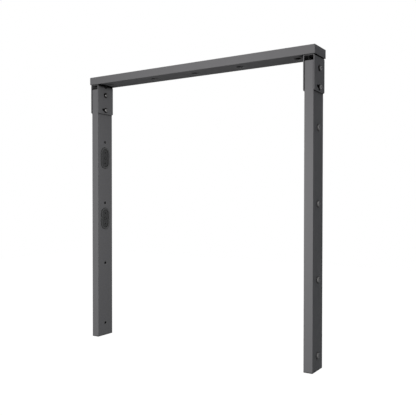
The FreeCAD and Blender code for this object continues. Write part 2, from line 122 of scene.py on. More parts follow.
class RowAction(Enum):
    """What a row of shapes does to a piece: the operation, and the sockets for the piece and the row."""

    PLACE = ("", "Geometry", "Geometry")
    JOIN = ("UNION", "Mesh 2", "Mesh 2")
    CUT = ("DIFFERENCE", "Mesh 1", "Mesh 2")


@dataclass(frozen=True)
class Extent:
    """The box of one node of the frame at rest."""

    low: Vector
    high: Vector

    @classmethod
    def of(cls, node: str) -> "Extent":
        """The box of a named node."""
        return cls(*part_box(node))

    @property
    def centre(self) -> Vector:
        """The middle of the box."""
        return (self.low + self.high) / 2

    @property
    def size(self) -> Vector:
        """The sides of the box."""
        return self.high - self.low


def named(rows: list[dict[str, Any]], name: str) -> dict[str, Any]:
    """The row of a name in one of the frame's lists."""
    return next(row for row in rows if row["name"] == name)


def mount(name: str) -> dict[str, Any]:
    """A mount of the record."""
    return named(frame["record"]["mounts"], name)


# Outlines and profiles


def arc(centre: Pair, radius: float, start: float, end: float, steps: int = ROUND_STEPS) -> Profile:
    """The points of an arc about a centre, both ends counted."""
    angles = (start + (end - start) * step / steps for step in range(steps + 1))
    return [(centre[0] + radius * cos(angle), centre[1] + radius * sin(angle)) for angle in angles]


@dataclass(frozen=True)
class Outline:
    """A rounded rectangle, which is a stadium or a circle where the corner is half a side."""

    width: float
    depth: float
    corner: float

    def ring(self, grow: float) -> list[Pair]:
        """The outline moved outwards by a distance, as points that are as many for each outline."""
        corner = max(self.corner + grow, SMALLEST_CORNER)
        reach_u, reach_v = (side / 2 + grow - corner for side in (self.width, self.depth))
        points = []
        for quadrant, (sign_u, sign_v) in enumerate(((1, 1), (-1, 1), (-1, -1), (1, -1))):
            start = quadrant * pi / 2
            points += arc((sign_u * reach_u, sign_v * reach_v), corner, start, start + pi / 2, QUADRANT_STEPS)
        return points


@dataclass(frozen=True)
class Hexagon:
    """A six-sided socket by the distance between its flats."""

    flats: float

    def ring(self, grow: float) -> list[Pair]:
        """The hexagon moved outwards by a distance, at the angles of a circle's points."""
        points = []
        for u, v in UNIT_CIRCLE:
            off_flat = (atan2(v, u) + pi / 6) % (pi / 3) - pi / 6
            reach = (self.flats / 2 + grow) / cos(off_flat)
            points.append((reach * u, reach * v))
        return points


@dataclass(frozen=True)
class ArcSlot:
    """A slot about a pivot, from one angle to another."""

    radius: float
    half_width: float
    start: float
    end: float
    steps: int = 12

    def ring(self, grow: float) -> list[Pair]:
        """The slot's outline about its pivot, moved outwards by a distance."""
        radius, start, end, steps = self.radius, self.start, self.end, self.steps
        half, pivot, turn = self.half_width + grow, (0.0, 0.0), -pi if end < start else pi
        first, last = ((radius * cos(angle), radius * sin(angle)) for angle in (start, end))
        return [
            *arc(pivot, radius + half, start, end, steps),
            *arc(last, half, end, end + turn, steps)[1:-1],
            *arc(pivot, radius - half, end, start, steps),
            *arc(first, half, start + pi, start + pi + turn, steps)[1:-1],
        ]


Section = Outline | Hexagon | ArcSlot


def circle(diameter: float) -> Outline:
    """A circle as an outline."""
    return Outline(diameter, diameter, diameter / 2)


def stadium(width: float, length: float) -> Outline:
    """An upright stadium as an outline."""
    return Outline(width, length, width / 2)


UNIT_CIRCLE = circle(2.0).ring(0.0)


def rounded(*corners: tuple[float, ...]) -> Profile:
    """A profile with an arc at each corner that has a radius.

    Args:
        *corners: The growth and level of each corner in order, and its radius where it is round.

    Returns:
        Pairs of growth and level.
    """
    points = []
    for place, (grow, level, *radii) in enumerate(corners):
        if not radii:
            points.append((grow, level))
            continue
        radius, here = radii[0], Vector((grow, level))
        beside = corners[place - 1], corners[(place + 1) % len(corners)]
        back, ahead = ((Vector(corner[:2]) - here).normalized() for corner in beside)
        half_angle = back.angle(ahead) / 2
        centre = here + (back + ahead).normalized() * (radius / sin(half_angle))
        first, last = (here + way * (radius / tan(half_angle)) - centre for way in (back, ahead))
        start = atan2(first.y, first.x)
        sweep = (atan2(last.y, last.x) - start + pi) % (2 * pi) - pi
        points += arc(centre, radius, start, start + sweep)
    return points


def lipped(*walls: Pair, lip: float) -> Profile:
    """The profile of a cutter that leaves a small round lip on both faces of each wall.

    Args:
        *walls: The two faces of each wall that is cut, as rising levels.
        lip: The radius of the lips.

    Returns:
        Pairs of growth and level, which run past the first and last face.
    """
    points = [(lip, walls[0][0] - OVERRUN)]
    for near, far in walls:
        points += arc((lip, near + lip), lip, 1.5 * pi, pi) + arc((lip, far - lip), lip, pi, pi / 2)
    return [*points, (lip, walls[-1][1] + OVERRUN)]


def crowned(reach: float, height: float, shares: tuple[float, ...]) -> Profile:
    """Points of a slightly domed face, at shares of the way from its rim to its ridge."""
    return [(-reach * share, height * (1 - share) ** 2) for share in shares]


# Meshes


def blank(name: str) -> Piece:
    """An empty piece that node groups fill."""
    return bpy.data.objects.new(name, bpy.data.meshes.new(name))


def skin(name: str, rings: list[list[Triple]], closed: bool = False) -> Piece:
    """A closed surface over rings of as many points each.

    Args:
        name: The object's name.
        rings: The rings in order.
        closed: Whether the last ring joins the first, instead of two ends being filled.

    Returns:
        An object that isn't in the scene yet.
    """
    shape = bmesh.new()
    rows = [[shape.verts.new(point) for point in ring] for ring in rings]
    for lower, upper in zip(rows, rows[1:] + rows[:1] if closed else rows[1:]):
        for place in range(len(lower)):
            ahead = (place + 1) % len(lower)
            shape.faces.new((lower[place], lower[ahead], upper[ahead], upper[place]))
    if not closed:
        shape.faces.new(rows[0])
        shape.faces.new(rows[-1])
    bmesh.ops.remove_doubles(shape, verts=shape.verts, dist=MERGE_DISTANCE)
    bmesh.ops.dissolve_degenerate(shape, edges=shape.edges, dist=MERGE_DISTANCE)
    bmesh.ops.recalc_face_normals(shape, faces=shape.faces)
    piece = blank(name)
    shape.to_mesh(piece.data)
    shape.free()
    return piece


def swept(
    name: str,
    parts: list[tuple[Section, Profile]],
    axis: Axis = Axis.X,
    at: Triple = (0.0, 0.0, 0.0),
    closed: bool = False,
) -> Piece:
    """A solid whose outline grows and shrinks from level to level.

    Args:
        name: The object's name.
        parts: Each outline with its pairs of growth and level.
        axis: The direction of the levels.
        at: The place of the outline's centre at level 0.
        closed: Whether the solid is a ring about the axis.

    Returns:
        An object that isn't in the scene yet.
    """
    rings = []
    for outline, profile in parts:
        for grow, level in profile:
            points = (axis.point(u, v, level) for u, v in outline.ring(grow))
            rings.append([(x + at[0], y + at[1], z + at[2]) for x, y, z in points])
    return skin(name, rings, closed)


# Node graphs


class Graph:
    """A node tree under construction."""

    def __init__(self, tree: bpy.types.NodeTree) -> None:
        """Start on a tree."""
        self.tree = tree

    @classmethod
    def of(cls, owner: bpy.types.Material | bpy.types.World) -> "Graph":
        """The emptied node tree of a material or a world."""
        owner.use_nodes = True
        owner.node_tree.nodes.clear()
        return cls(owner.node_tree)

    def node(self, kind: str, inputs: dict[str | int, Any] | None = None, **settings: Any) -> bpy.types.Node:
        """Add a node.

        Args:
            kind: The node's type.
            inputs: A value or an output socket for each input, by name or place.
            **settings: The node's own settings.

        Returns:
            The node.
        """
        made = self.tree.nodes.new(kind)
        for name, setting in settings.items():
            setattr(made, name, setting)
        for place, source in (inputs or {}).items():
            self.feed(made.inputs[place], source)
        return made

    def feed(self, socket: Socket, source: Any) -> None:
        """Link an output socket to an input, or set the input's value."""
        if isinstance(source, Socket):
            self.tree.links.new(source, socket)
        else:
            socket.default_value = source

    def maths(self, operation: str, *values: Any) -> Socket:
        """The result of a math node."""
        return self.node("ShaderNodeMath", dict(enumerate(values)), operation=operation).outputs[0]

    def vectors(self, operation: str, *values: Any) -> Socket:
        """The result of a vector math node."""
        made = self.node("ShaderNodeVectorMath", dict(enumerate(values)), operation=operation)
        return made.outputs["Value" if operation == "DOT_PRODUCT" else "Vector"]

    def spread(self, value: Any, given: Pair, wanted: Pair = (0.0, 1.0)) -> Socket:
        """A value's way between two limits, laid over the way between two others."""
        return self.node("ShaderNodeMapRange", {
            "Value": value, "From Min": given[0], "From Max": given[1], "To Min": wanted[0],
            "To Max": wanted[1]}).outputs[0]

    def noise(self, scale: Any, detail: float, roughness: float = 0.5) -> Socket:
        """A noise in the piece's own coordinates."""
        place = self.node("ShaderNodeTexCoord").outputs["Object"]
        return self.node("ShaderNodeTexNoise", {
            "Vector": place, "Scale": scale, "Detail": detail, "Roughness": roughness}).outputs[0]


class Group(Graph):
    """A node group with named inputs and outputs."""

    def __init__(self, name: str, kind: str, inputs: dict[str, Any], outputs: dict[str, str]) -> None:
        """Make the group and its sockets.

        Args:
            name: The group's name.
            kind: What its tree is for: "Shader" or "Geometry".
            inputs: A default number, or else the type of socket, for each named input.
            outputs: The type of socket for each named output.
        """
        super().__init__(bpy.data.node_groups.new(name, f"{kind}NodeTree"))
        self.identifiers = {}
        for label, sort in outputs.items():
            self.tree.interface.new_socket(label, in_out="OUTPUT", socket_type=f"NodeSocket{sort}")
        for label, given in inputs.items():
            is_number = not isinstance(given, str)
            sort = type(given).__name__.capitalize() if is_number else given
            socket = self.tree.interface.new_socket(label, in_out="INPUT", socket_type=f"NodeSocket{sort}")
            if is_number:
                socket.default_value = given
            self.identifiers[label] = socket.identifier
        self.inputs = self.tree.nodes.new("NodeGroupInput").outputs
        self.results = self.tree.nodes.new("NodeGroupOutput").inputs

    def put(self, *results: Socket) -> "Group":
        """Feed the group's outputs in order, and give back the group."""
        for socket, source in zip(self.results, results):
            self.feed(socket, source)
        return self

    def dress(self, geometry: Socket) -> "Group":
        """Make a geometry's instances real, set its finish and put it out."""
        real = self.node("GeometryNodeRealizeInstances", {0: geometry}).outputs[0]
        return self.put(self.node("GeometryNodeSetMaterial", {
            "Geometry": real, "Material": self.inputs["Finish"]}).outputs[0])

    def modify(self, piece: Piece, values: dict[str, Any]) -> None:
        """Add the group to a piece as a modifier.

        Args:
            piece: The object that gets the modifier.
            values: The values of its named inputs.
        """
        modifier = piece.modifiers.new(self.tree.name, "NODES")
        modifier.node_group = self.tree
        for label, setting in values.items():
            modifier[self.identifiers[label]] = setting


def tube_group() -> Group:
    """Geometry nodes for a hollow tube of rounded section between two points."""
    group = Group("hollow_tube", "Geometry", {
        "Geometry": "Geometry", "Start": "Vector", "End": "Vector", "Width": 30 * MM, "Depth": 80 * MM,
        "Corner": 1.2 * MM, "Bore Corner": 0.5 * MM, "Wall": 2 * MM, "Corner Steps": 5,
        "Finish": "Material"}, {"Geometry": "Geometry"})
    given = group.inputs
    start, end, width, depth = (given[name] for name in ("Start", "End", "Width", "Depth"))

    def bar(corner: str, sides: tuple[Any, Any], ends: tuple[Any, Any]) -> Socket:
        """A solid bar of rounded section."""
        section = group.node("GeometryNodeCurvePrimitiveQuadrilateral", dict(zip(("Width", "Height"), sides)))
        soft = group.node("GeometryNodeFilletCurve", {
            "Curve": section.outputs[0], "Radius": given[corner], "Count": given["Corner Steps"],
        }, mode="POLY")
        path = group.node("GeometryNodeCurvePrimitiveLine", dict(zip(("Start", "End"), ends)))
        return group.node("GeometryNodeCurveToMesh", {
            "Curve": path.outputs[0], "Profile Curve": soft.outputs[0], "Fill Caps": True}).outputs[0]

    along = group.vectors("NORMALIZE", group.vectors("SUBTRACT", end, start))
    overrun = group.vectors("MULTIPLY", along, (OVERRUN, OVERRUN, OVERRUN))
    both_walls = group.maths("MULTIPLY", given["Wall"], 2.0)
    bore_sides = group.maths("SUBTRACT", width, both_walls), group.maths("SUBTRACT", depth, both_walls)
    bore_ends = group.vectors("SUBTRACT", start, overrun), group.vectors("ADD", end, overrun)
    return group.dress(group.node("GeometryNodeMeshBoolean", {
        "Mesh 1": bar("Corner", (width, depth), (start, end)),
        "Mesh 2": bar("Bore Corner", bore_sides, bore_ends),
    }, operation="DIFFERENCE", solver="EXACT").outputs[0])


def row_group(action: RowAction) -> Group:
    """Geometry nodes that repeat a shape along a line, and place, join or cut the copies."""
    group = Group(f"row_{action.name.lower()}", "Geometry", {
        "Geometry": "Geometry", "Shape": "Object", "Count": 1, "Start": "Vector", "Step": "Vector",
        "Turn": "Vector", "Finish": "Material"}, {"Geometry": "Geometry"})
    given = group.inputs
    line = group.node("GeometryNodeMeshLine", {
        "Count": given["Count"], "Start Location": given["Start"], "Offset": given["Step"]})
    shape = group.node("GeometryNodeObjectInfo", {"Object": given["Shape"]})
    copies = group.node("GeometryNodeInstanceOnPoints", {
        "Points": line.outputs[0], "Instance": shape.outputs["Geometry"], "Rotation": given["Turn"]})
    real = group.node("GeometryNodeRealizeInstances", {0: copies.outputs[0]})
    operation, piece_socket, row_socket = action.value
    if operation:
        both = group.node("GeometryNodeMeshBoolean", operation=operation, solver="EXACT")
    else:
        both = group.node("GeometryNodeJoinGeometry")
    group.feed(both.inputs[piece_socket], given["Geometry"])
    group.feed(both.inputs[row_socket], real.outputs[0])
    return group.dress(both.outputs[0])


@dataclass(frozen=True)
class Row:
    """Copies along a line: how many, from where, how far apart and how they are turned."""

    start: Triple = (0.0, 0.0, 0.0)
    count: int = 1
    step: Triple = (0.0, 0.0, 0.0)
    turn: float = 0.0

    @classmethod
    def pair(cls, centre: Triple, apart: Triple) -> "Row":
        """Two copies, half of a step before and half of it past a centre."""
        x, y, z = (middle - step / 2 for middle, step in zip(centre, apart))
        return cls((x, y, z), 2, apart)

    def values(self) -> dict[str, Any]:
        """The values of a row group's inputs."""
        return {"Count": self.count, "Start": self.start, "Step": self.step, "Turn": (0.0, 0.0, self.turn)}


@dataclass(frozen=True)
class Hole:
    """A hole: the name, outline and profile of its cutter, the rows that it lies in and its axis."""

    name: str
    outline: Section
    profile: Profile
    rows: list[Row]
    axis: Axis = Axis.X


# Finishes


def grain_group() -> Group:
    """A fine surface texture with slow patches, as coatings and mouldings have."""
    group = Group("surface_grain", "Shader", {"Patch Scale": 30.0, "Grain Scale": 1500.0},
                  {"Patches": "Float", "Grain": "Float"})
    beads_per_wave, wave_share = 1.6, 0.65
    scale = group.inputs["Grain Scale"]
    place = group.node("ShaderNodeTexCoord").outputs["Object"]
    beads = group.node("ShaderNodeTexVoronoi", {
        "Vector": place, "Scale": group.maths("MULTIPLY", scale, beads_per_wave)}, feature="SMOOTH_F1")
    grain = group.maths("ADD", group.maths("MULTIPLY", group.noise(scale, detail=2.0), wave_share),
                        group.maths("MULTIPLY", beads.outputs["Distance"], 1 - wave_share))
    return group.put(group.noise(group.inputs["Patch Scale"], detail=4.0, roughness=0.6), grain)


def edge_group() -> Group:
    """Where a surface turns over an edge, broken up as a coat that thins there."""
    group = Group("edge_thinning", "Shader", {"Reach": 1.2 * MM, "Amount": 1.0}, {"Mask": "Float"})
    turn_limits, spot_limits = (0.01, 0.25), (0.3, 0.65)
    soft = group.node("ShaderNodeBevel", {"Radius": group.inputs["Reach"]}, samples=6).outputs[0]
    flat = group.node("ShaderNodeNewGeometry").outputs["Normal"]
    turn = group.maths("SUBTRACT", 1.0, group.vectors("DOT_PRODUCT", soft, flat))
    spots = group.spread(group.noise(scale=220.0, detail=3.0), spot_limits)
    mask = group.maths("MULTIPLY", group.spread(turn, turn_limits), spots)
    return group.put(group.maths("MULTIPLY", mask, group.inputs["Amount"]))


def crevice_group() -> Group:
    """Painted shade: how deep in a corner or a gap a surface lies, by ambient occlusion, with or without the
    piece's own hollows, as a mask that darkens the colour there.
    """
    group = Group("deep_crevice", "Shader", {"Reach": 45 * MM, "Amount": 0.6, "Hollows": 1.0},
                  {"Mask": "Float"})
    reach, open_limits = {"Distance": group.inputs["Reach"]}, (0.5, 0.92)
    # Ambient occlusion read into a mask, with which the finishes paint shade into the base colour.
    among_all, alone = (
        group.node("ShaderNodeAmbientOcclusion", reach, samples=8, only_local=only_local).outputs["AO"]
        for only_local in (False, True))
    forgiven = group.maths("MULTIPLY", group.maths("SUBTRACT", 1.0, alone),
                           group.maths("SUBTRACT", 1.0, group.inputs["Hollows"]))
    closed = group.spread(group.maths("ADD", among_all, forgiven), open_limits, (1.0, 0.0))
    return group.put(group.maths("MULTIPLY", closed, group.inputs["Amount"]))


def dust_group() -> Group:
    """Dust that has settled on what looks up."""
    group = Group("settled_dust", "Shader", {"Amount": 0.2}, {"Mask": "Float"})
    level_limits, cloud_limits = (0.5, 1.0), (0.35, 0.75)
    normal = group.node("ShaderNodeTexCoord").outputs["Normal"]
    upward = group.node("ShaderNodeSeparateXYZ", {0: normal}).outputs["Z"]
    clouds = group.spread(group.noise(scale=90.0, detail=5.0), cloud_limits)
    mask = group.maths("MULTIPLY", group.spread(upward, level_limits), clouds)
    return group.put(group.maths("MULTIPLY", mask, group.inputs["Amount"]))


class SurfaceGroups:
    """The shader groups that the finishes share."""

    def __init__(self) -> None:
        """Build each group once."""
        self.grain = grain_group()
        self.edge = edge_group()
        # The group that paints shade into corners and gaps.
        self.crevice = crevice_group()
        self.dust = dust_group()


@dataclass(frozen=True)
class Look:
    """The numbers of one finish.

    Attributes:
        name: The material's name.
        slot: The record's slot that it stands for.
        colour: The colour of the clean surface.
        roughness: Its roughness.
        metallic: How much of it is bare metal.
        variation: How far colour and roughness wander in slow patches.
        patch_scale: How small the patches are, in features for each metre.
        grain_scale: How small the grain is.
        grain_height: How deep the grain is, in metres.
        edge_colour: The colour where the surface thins on edges.
        edge_reach: How far from an edge that shows.
        edge_amount: How much it shows.
        dust_amount: How much dust lies on what looks up.
        crevice_amount: How much painted shade darkens the colour in corners and gaps. Above 1 it starts
            sooner.
        crevice_reach: How far across a gap that painted shade looks.
        hollows: How much the piece's own holes and bores count in the painted shade.
        specular: The strength of the plain reflection.
    """

    name: str
    slot: str
    colour: Triple
    roughness: float
    metallic: float = 0.0
    variation: float = 0.03
    patch_scale: float = 24.0
    grain_scale: float = 1500.0
    grain_height: float = 0.02 * MM
    edge_colour: Triple = (0.3, 0.3, 0.3)
    edge_reach: float = 1.0 * MM
    edge_amount: float = 0.3
    dust_amount: float = 0.1
    # How much shade is painted into the colour in corners and gaps, and how far it reaches.
    crevice_amount: float = 1.0
    crevice_reach: float = 45 * MM
    hollows: float = 1.0
    specular: float = 0.5


DUST_COLOUR: Triple = (0.42, 0.41, 0.39)
# The colour of the painted shade in corners and gaps: black.
PAINTED_SHADE_COLOUR: Triple = (0.0, 0.0, 0.0)

COAT = Look(
    "charcoal_powder_coat", "frame_steel", (0.156, 0.159, 0.169), 0.7, specular=0.13, variation=0.04,
    grain_scale=1400.0, grain_height=0.03 * MM, edge_colour=(0.24, 0.242, 0.25), edge_amount=0.5,
    dust_amount=0.12, crevice_amount=1.25, crevice_reach=20 * MM)
STEEL = Look(
    "phosphated_steel", "black_steel", (0.195, 0.195, 0.198), 0.34, metallic=0.6, specular=0.1,
    variation=0.05, patch_scale=160.0, grain_scale=2600.0, grain_height=0.004 * MM, edge_reach=0.5 * MM,
    edge_amount=0.6, dust_amount=0.05, crevice_amount=1.8)
ZINC = Look(
    "zinc_plated_steel", "zinc_steel", (0.55, 0.56, 0.58), 0.38, metallic=1.0, variation=0.08,
    patch_scale=180.0, grain_scale=2200.0, grain_height=0.005 * MM, edge_colour=(0.7, 0.7, 0.72),
    dust_amount=0.05)
PLASTIC = Look(
    "charcoal_cap_plastic", "cap_plastic", (0.156, 0.159, 0.17), 0.7, specular=0.15, grain_scale=2400.0,
    grain_height=0.015 * MM, edge_colour=(0.21, 0.212, 0.22), edge_reach=0.6 * MM)
RUBBER = Look(
    "soft_gland_rubber", "gland_rubber", (0.055, 0.057, 0.06), 0.8, specular=0.25, variation=0.05,
    patch_scale=120.0, grain_scale=1800.0, edge_colour=(0.09, 0.09, 0.095), edge_amount=0.2,
    dust_amount=0.2)


class Finish:
    """A material made from a look."""

    def __init__(self, look: Look, groups: SurfaceGroups) -> None:
        """Build the material.

        Args:
            look: The finish's numbers.
            groups: The shared shader groups.
        """
        self.look = look
        self.slot = look.slot
        self.material = bpy.data.materials.new(look.name)
        self.material.diffuse_color = (*look.colour, 1.0)
        self.graph = Graph.of(self.material)
        self.shade(groups)

    def group(self, group: Group, **values: float) -> bpy.types.NodeOutputs:
        """The outputs of a shader group that is placed with its own values."""
        made = self.graph.node("ShaderNodeGroup", node_tree=group.tree)
        for label, setting in values.items():
            made.inputs[label.replace("_", " ").title()].default_value = setting
        return made.outputs

    def mixed(self, mask: Socket, clean: Any, other: Triple) -> Socket:
        """One colour over another by a mask."""
        mix = self.graph.node("ShaderNodeMix", {0: mask, 6: clean, 7: (*other, 1.0)}, data_type="RGBA")
        return mix.outputs[2]

    def shade(self, groups: SurfaceGroups) -> None:
        """Join grain, thinned edges, dust and painted shade in crevices into one surface."""
        look, graph = self.look, self.graph
        grain = self.group(groups.grain, patch_scale=look.patch_scale, grain_scale=look.grain_scale)
        edge = self.group(groups.edge, reach=look.edge_reach, amount=look.edge_amount)
        # Painted shade: ambient occlusion darkens the colour towards black in corners and gaps.
        crevice = self.group(
            groups.crevice, reach=look.crevice_reach, amount=look.crevice_amount, hollows=look.hollows)
        dust = self.group(groups.dust, amount=look.dust_amount)
        dark, light = (tuple(part * share for part in look.colour) for share in (
            1 - look.variation, 1 + look.variation))
        colour = self.mixed(grain["Patches"], (*dark, 1.0), light)
        # The last mix paints the shade into corners and gaps.
        for mask, other in ((edge, look.edge_colour), (dust, DUST_COLOUR), (crevice, PAINTED_SHADE_COLOUR)):
            colour = self.mixed(mask["Mask"], colour, other)
        roughness = graph.spread(
            grain["Patches"], (0.3, 0.7), (look.roughness - look.variation, look.roughness + look.variation))
        bump = graph.node("ShaderNodeBump", {
            "Height": grain["Grain"], "Strength": 1.0, "Distance": look.grain_height})
        surface = graph.node("ShaderNodeBsdfPrincipled", {
            "Base Color": colour, "Roughness": roughness, "Metallic": look.metallic,
            "Normal": bump.outputs[0], "Specular IOR Level": look.specular})
        graph.node("ShaderNodeOutputMaterial", {"Surface": surface.outputs[0]})


@dataclass(frozen=True)
class Finishes:
    """Every finish of the mount."""

    beam_coat: Finish
    powder_coat: Finish
    bracket_coat: Finish
    dark_screw: Finish
    black_washer: Finish
    zinc_plate: Finish
    cap_plastic: Finish
    plug_plastic: Finish
    foot_plastic: Finish
    gland_plastic: Finish
    gland_rubber: Finish

    @classmethod
    def make(cls) -> "Finishes":
        """Build each material once."""
        looks = [
            # The crevice numbers below set how much shade is painted into each finish's corners and gaps.
            replace(COAT, name="flat_powder_coat", colour=(0.163, 0.166, 0.176), specular=0.02,
                    crevice_amount=1.6, crevice_reach=45 * MM, hollows=0.0),
            COAT,
            replace(COAT, name="bracket_powder_coat", hollows=0.2),
            STEEL,
            replace(STEEL, name="black_oxide_steel", colour=(0.009, 0.009, 0.01), roughness=0.5, metallic=0.0,
                    variation=0.04, edge_colour=(0.03, 0.03, 0.03), edge_amount=0.3, dust_amount=0.02,
                    crevice_amount=1.0, specular=0.08),
            ZINC,
            PLASTIC,
            replace(PLASTIC, name="access_plug_plastic", colour=(0.175, 0.177, 0.183), roughness=0.65,
                    specular=0.2, edge_colour=(0.24, 0.242, 0.25), crevice_amount=0.15),
            replace(PLASTIC, name="foot_cap_plastic", colour=(0.105, 0.107, 0.112), specular=0.1,
                    edge_colour=(0.16, 0.162, 0.168), edge_amount=0.2),
            replace(PLASTIC, name="dark_gland_plastic", slot="gland_plastic", colour=(0.06, 0.062, 0.065),
                    roughness=0.5, specular=0.3, grain_height=0.012 * MM,
                    edge_colour=(0.09, 0.092, 0.095), edge_amount=0.2, dust_amount=0.08),
            RUBBER,
        ]
        groups = SurfaceGroups()
        return cls(*(Finish(look, groups) for look in looks))


# Workshop


class Workshop:
    """Makes pieces with the node groups and hands them to the frame."""

    def __init__(self) -> None:
        """Make the groups that every piece shares."""
        self.tube = tube_group()
        self.rows = {action: row_group(action) for action in RowAction}
        self.patterns: list[Piece] = []

    def repeat(
        self,
        piece: Piece,
        shape: Piece,
        rows: list[Row],
        action: RowAction,
        finish: Finish,
    ) -> None:
        """Add rows of a shape to a piece.

        Args:
            piece: The piece that gets the rows.
            shape: The shape that is repeated, which isn't shown itself.
            rows: Where the copies go.
            action: What the copies do.
            finish: What the whole piece is made of.
        """
        self.patterns.append(shape)
        for row in rows:
            self.rows[action].modify(piece, {"Shape": shape, "Finish": finish.material, **row.values()})

    def cut(self, piece: Piece, finish: Finish, *holes: Hole) -> None:
        """Cut rows of holes into a piece."""
        for hole in holes:
            cutter = swept(hole.name, [(hole.outline, hole.profile)], hole.axis)
            self.repeat(piece, cutter, hole.rows, RowAction.CUT, finish)

    def settle(self, piece: Piece) -> Piece:
        """Turn what a piece's node groups give into its own plain mesh."""
        bpy.context.scene.collection.objects.link(piece)
        bpy.context.view_layer.update()
        graph = bpy.context.evaluated_depsgraph_get()
        mesh = bpy.data.meshes.new_from_object(piece.evaluated_get(graph), depsgraph=graph)
        piece.modifiers.clear()
        piece.data = mesh
        return piece

    def place(
        self,
        name: str,
        shape: Piece,
        rows: list[Row],
        body: str,
        nodes: list[str],
        finish: Finish,
    ) -> None:
        """Deliver a piece that consists of copies of one shape.

        Args:
            name: The piece's name.
            shape: The shape.
            rows: Where the copies go.
            body: The body that the piece moves with.
            nodes: The nodes of the frame that it stands for.
            finish: What it is made of.
        """
        piece = blank(name)
        self.repeat(piece, shape, rows, RowAction.PLACE, finish)
        self.deliver(piece, body, nodes, finish)

    def deliver(self, piece: Piece, body: str, nodes: list[str], finish: Finish) -> None:
        """Finish a piece's surface and set it on its body.

        Args:
            piece: The piece.
            body: The body that it moves with.
            nodes: The nodes of the frame that it stands for.
            finish: What it is made of.
        """
        mesh = self.settle(piece).data
        mesh.materials.clear()
        mesh.materials.append(finish.material)
        for polygon in mesh.polygons:
            polygon.material_index = 0
        mesh.shade_smooth()
        mesh.set_sharp_from_angle(angle=SMOOTH_LIMIT)
        piece.modifiers.new("even_faces", "WEIGHTED_NORMAL").keep_sharp = True
        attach(piece, body)
        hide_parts(*nodes)
        LOG.info("%s: %d faces on %s for %s", piece.name, len(mesh.polygons), body, ", ".join(nodes))

    def clear_up(self) -> None:
        """Remove the shapes that only served as patterns."""
        for shape in self.patterns:
            bpy.data.objects.remove(shape)
        self.patterns.clear()


@dataclass(frozen=True)
class Tube:
    """A rectangular tube by its outer sides, with the room that a plug in its bore leaves."""

    width: float
    depth: float
    wall: float = 2.0 * MM
    corner: float = 1.2 * MM
    bore_corner: float = 0.5 * MM
    plug_clearance: float = 0.2 * MM

    @property
    def outline(self) -> Outline:
        """The tube's outside."""
        return Outline(self.width, self.depth, self.corner)

    @property
    def plug(self) -> Outline:
        """The outline of a plug that fits the bore."""
        slack = 2 * (self.wall + self.plug_clearance)
        return Outline(self.width - slack, self.depth - slack, self.bore_corner)

    def build(self, shop: Workshop, name: str, ends: tuple[Triple, Triple], finish: Finish) -> Piece:
        """The tube between two points, as a piece that can still be cut.

        Args:
            shop: Where it is made.
            name: The piece's name.
            ends: The two points.
            finish: What it is made of.

        Returns:
            The piece.
        """
        piece = blank(name)
        shop.tube.modify(piece, {
            "Start": ends[0], "End": ends[1], "Width": self.width, "Depth": self.depth, "Wall": self.wall,
            "Corner": self.corner, "Bore Corner": self.bore_corner, "Finish": finish.material})
        return piece


# Fixings


@dataclass(frozen=True)
class ButtonScrew:
    """A button head screw with a hexagon socket. Level 0 is the seat of its head, and its head is out.

    Attributes:
        head_diameter: Across the head.
        head_height: From the seat to the flat top.
        length: From the seat to the tip.
        plain_length: How much of the shank below the seat has no thread.
        diameter: Across the thread's crests.
        pitch: From crest to crest.
        socket_flats: The key's size.
        socket_depth: How deep the key goes.
    """

    head_diameter: float
    head_height: float
    length: float
    plain_length: float
    diameter: float = 8.0 * MM
    pitch: float = 1.25 * MM
    socket_flats: float = 5.0 * MM
    socket_depth: float = 3.0 * MM
    socket_lead: float = 0.45 * MM
    socket_cone: float = 0.7 * MM
    mouth_clearance: float = 0.25 * MM
    land: float = 0.7 * MM
    side_height: float = 0.7 * MM
    seat_width: float = 1.0 * MM
    edge: float = 0.3 * MM
    cone_share: float = 0.35
    tip_slope: float = 0.7
    dome_power: float = 0.9
    thread_depth_share: float = 0.61
    rings_per_turn: int = 6
    dome_steps: int = 7

    def shank_rings(self) -> list[list[Triple]]:
        """The shank from its tip, with a helical thread that fades in and out."""
        radius, depth = self.diameter / 2, self.thread_depth_share * self.pitch
        threaded = self.length - self.plain_length
        count = round(threaded / self.pitch) * self.rings_per_turn
        rings = []
        for place in range(count + 1):
            level = -self.length + threaded * place / count
            fade = min(1.0, (level + self.length) / self.pitch, -(level + self.plain_length) / self.pitch)
            chamfer = max(0.0, self.pitch - (level + self.length)) * self.tip_slope
            ring = []
            for u, v in UNIT_CIRCLE:
                phase = (level / self.pitch - atan2(v, u) / (2 * pi)) % 1.0
                cut = depth * (1 - abs(2 * phase - 1)) * max(fade, 0.0)
                reach = radius - chamfer - min(cut, depth)
                ring.append((level, u * reach, v * reach))
            rings.append(ring)
        return rings

    def head_parts(self) -> list[tuple[Section, Profile]]:
        """The head from its seat over the dome and down the socket."""
        head, flats = circle(self.head_diameter), self.socket_flats
        top, side, bottom = self.head_height, self.side_height, self.head_height - self.socket_depth
        mouth = flats / sqrt(3) + self.mouth_clearance
        dome_width = self.head_diameter / 2 - mouth - self.land
        shares = [step / self.dome_steps for step in range(self.dome_steps + 1)]
        return [
            (circle(self.diameter), [(0.0, 0.0)]),
            (head, rounded((-self.seat_width, 0.0), (0.0, 0.0, self.edge), (0.0, side))),
            (head, [(-dome_width * share, side + (top - side) * sin(share * pi / 2) ** self.dome_power)
                    for share in shares]),
            (circle(2 * mouth), [(0.0, top)]),
            (Hexagon(flats), [(0.0, top - self.socket_lead), (0.0, bottom)]),
            (circle(flats), [(-self.edge, bottom), (-self.cone_share * flats, bottom - self.socket_cone)]),
        ]

    def build(self, name: str) -> Piece:
        """The screw along X as a pattern."""
        rings = self.shank_rings()
        for outline, profile in self.head_parts():
            for grow, level in profile:
                rings.append([Axis.X.point(u, v, level) for u, v in outline.ring(grow)])
        return skin(name, rings)


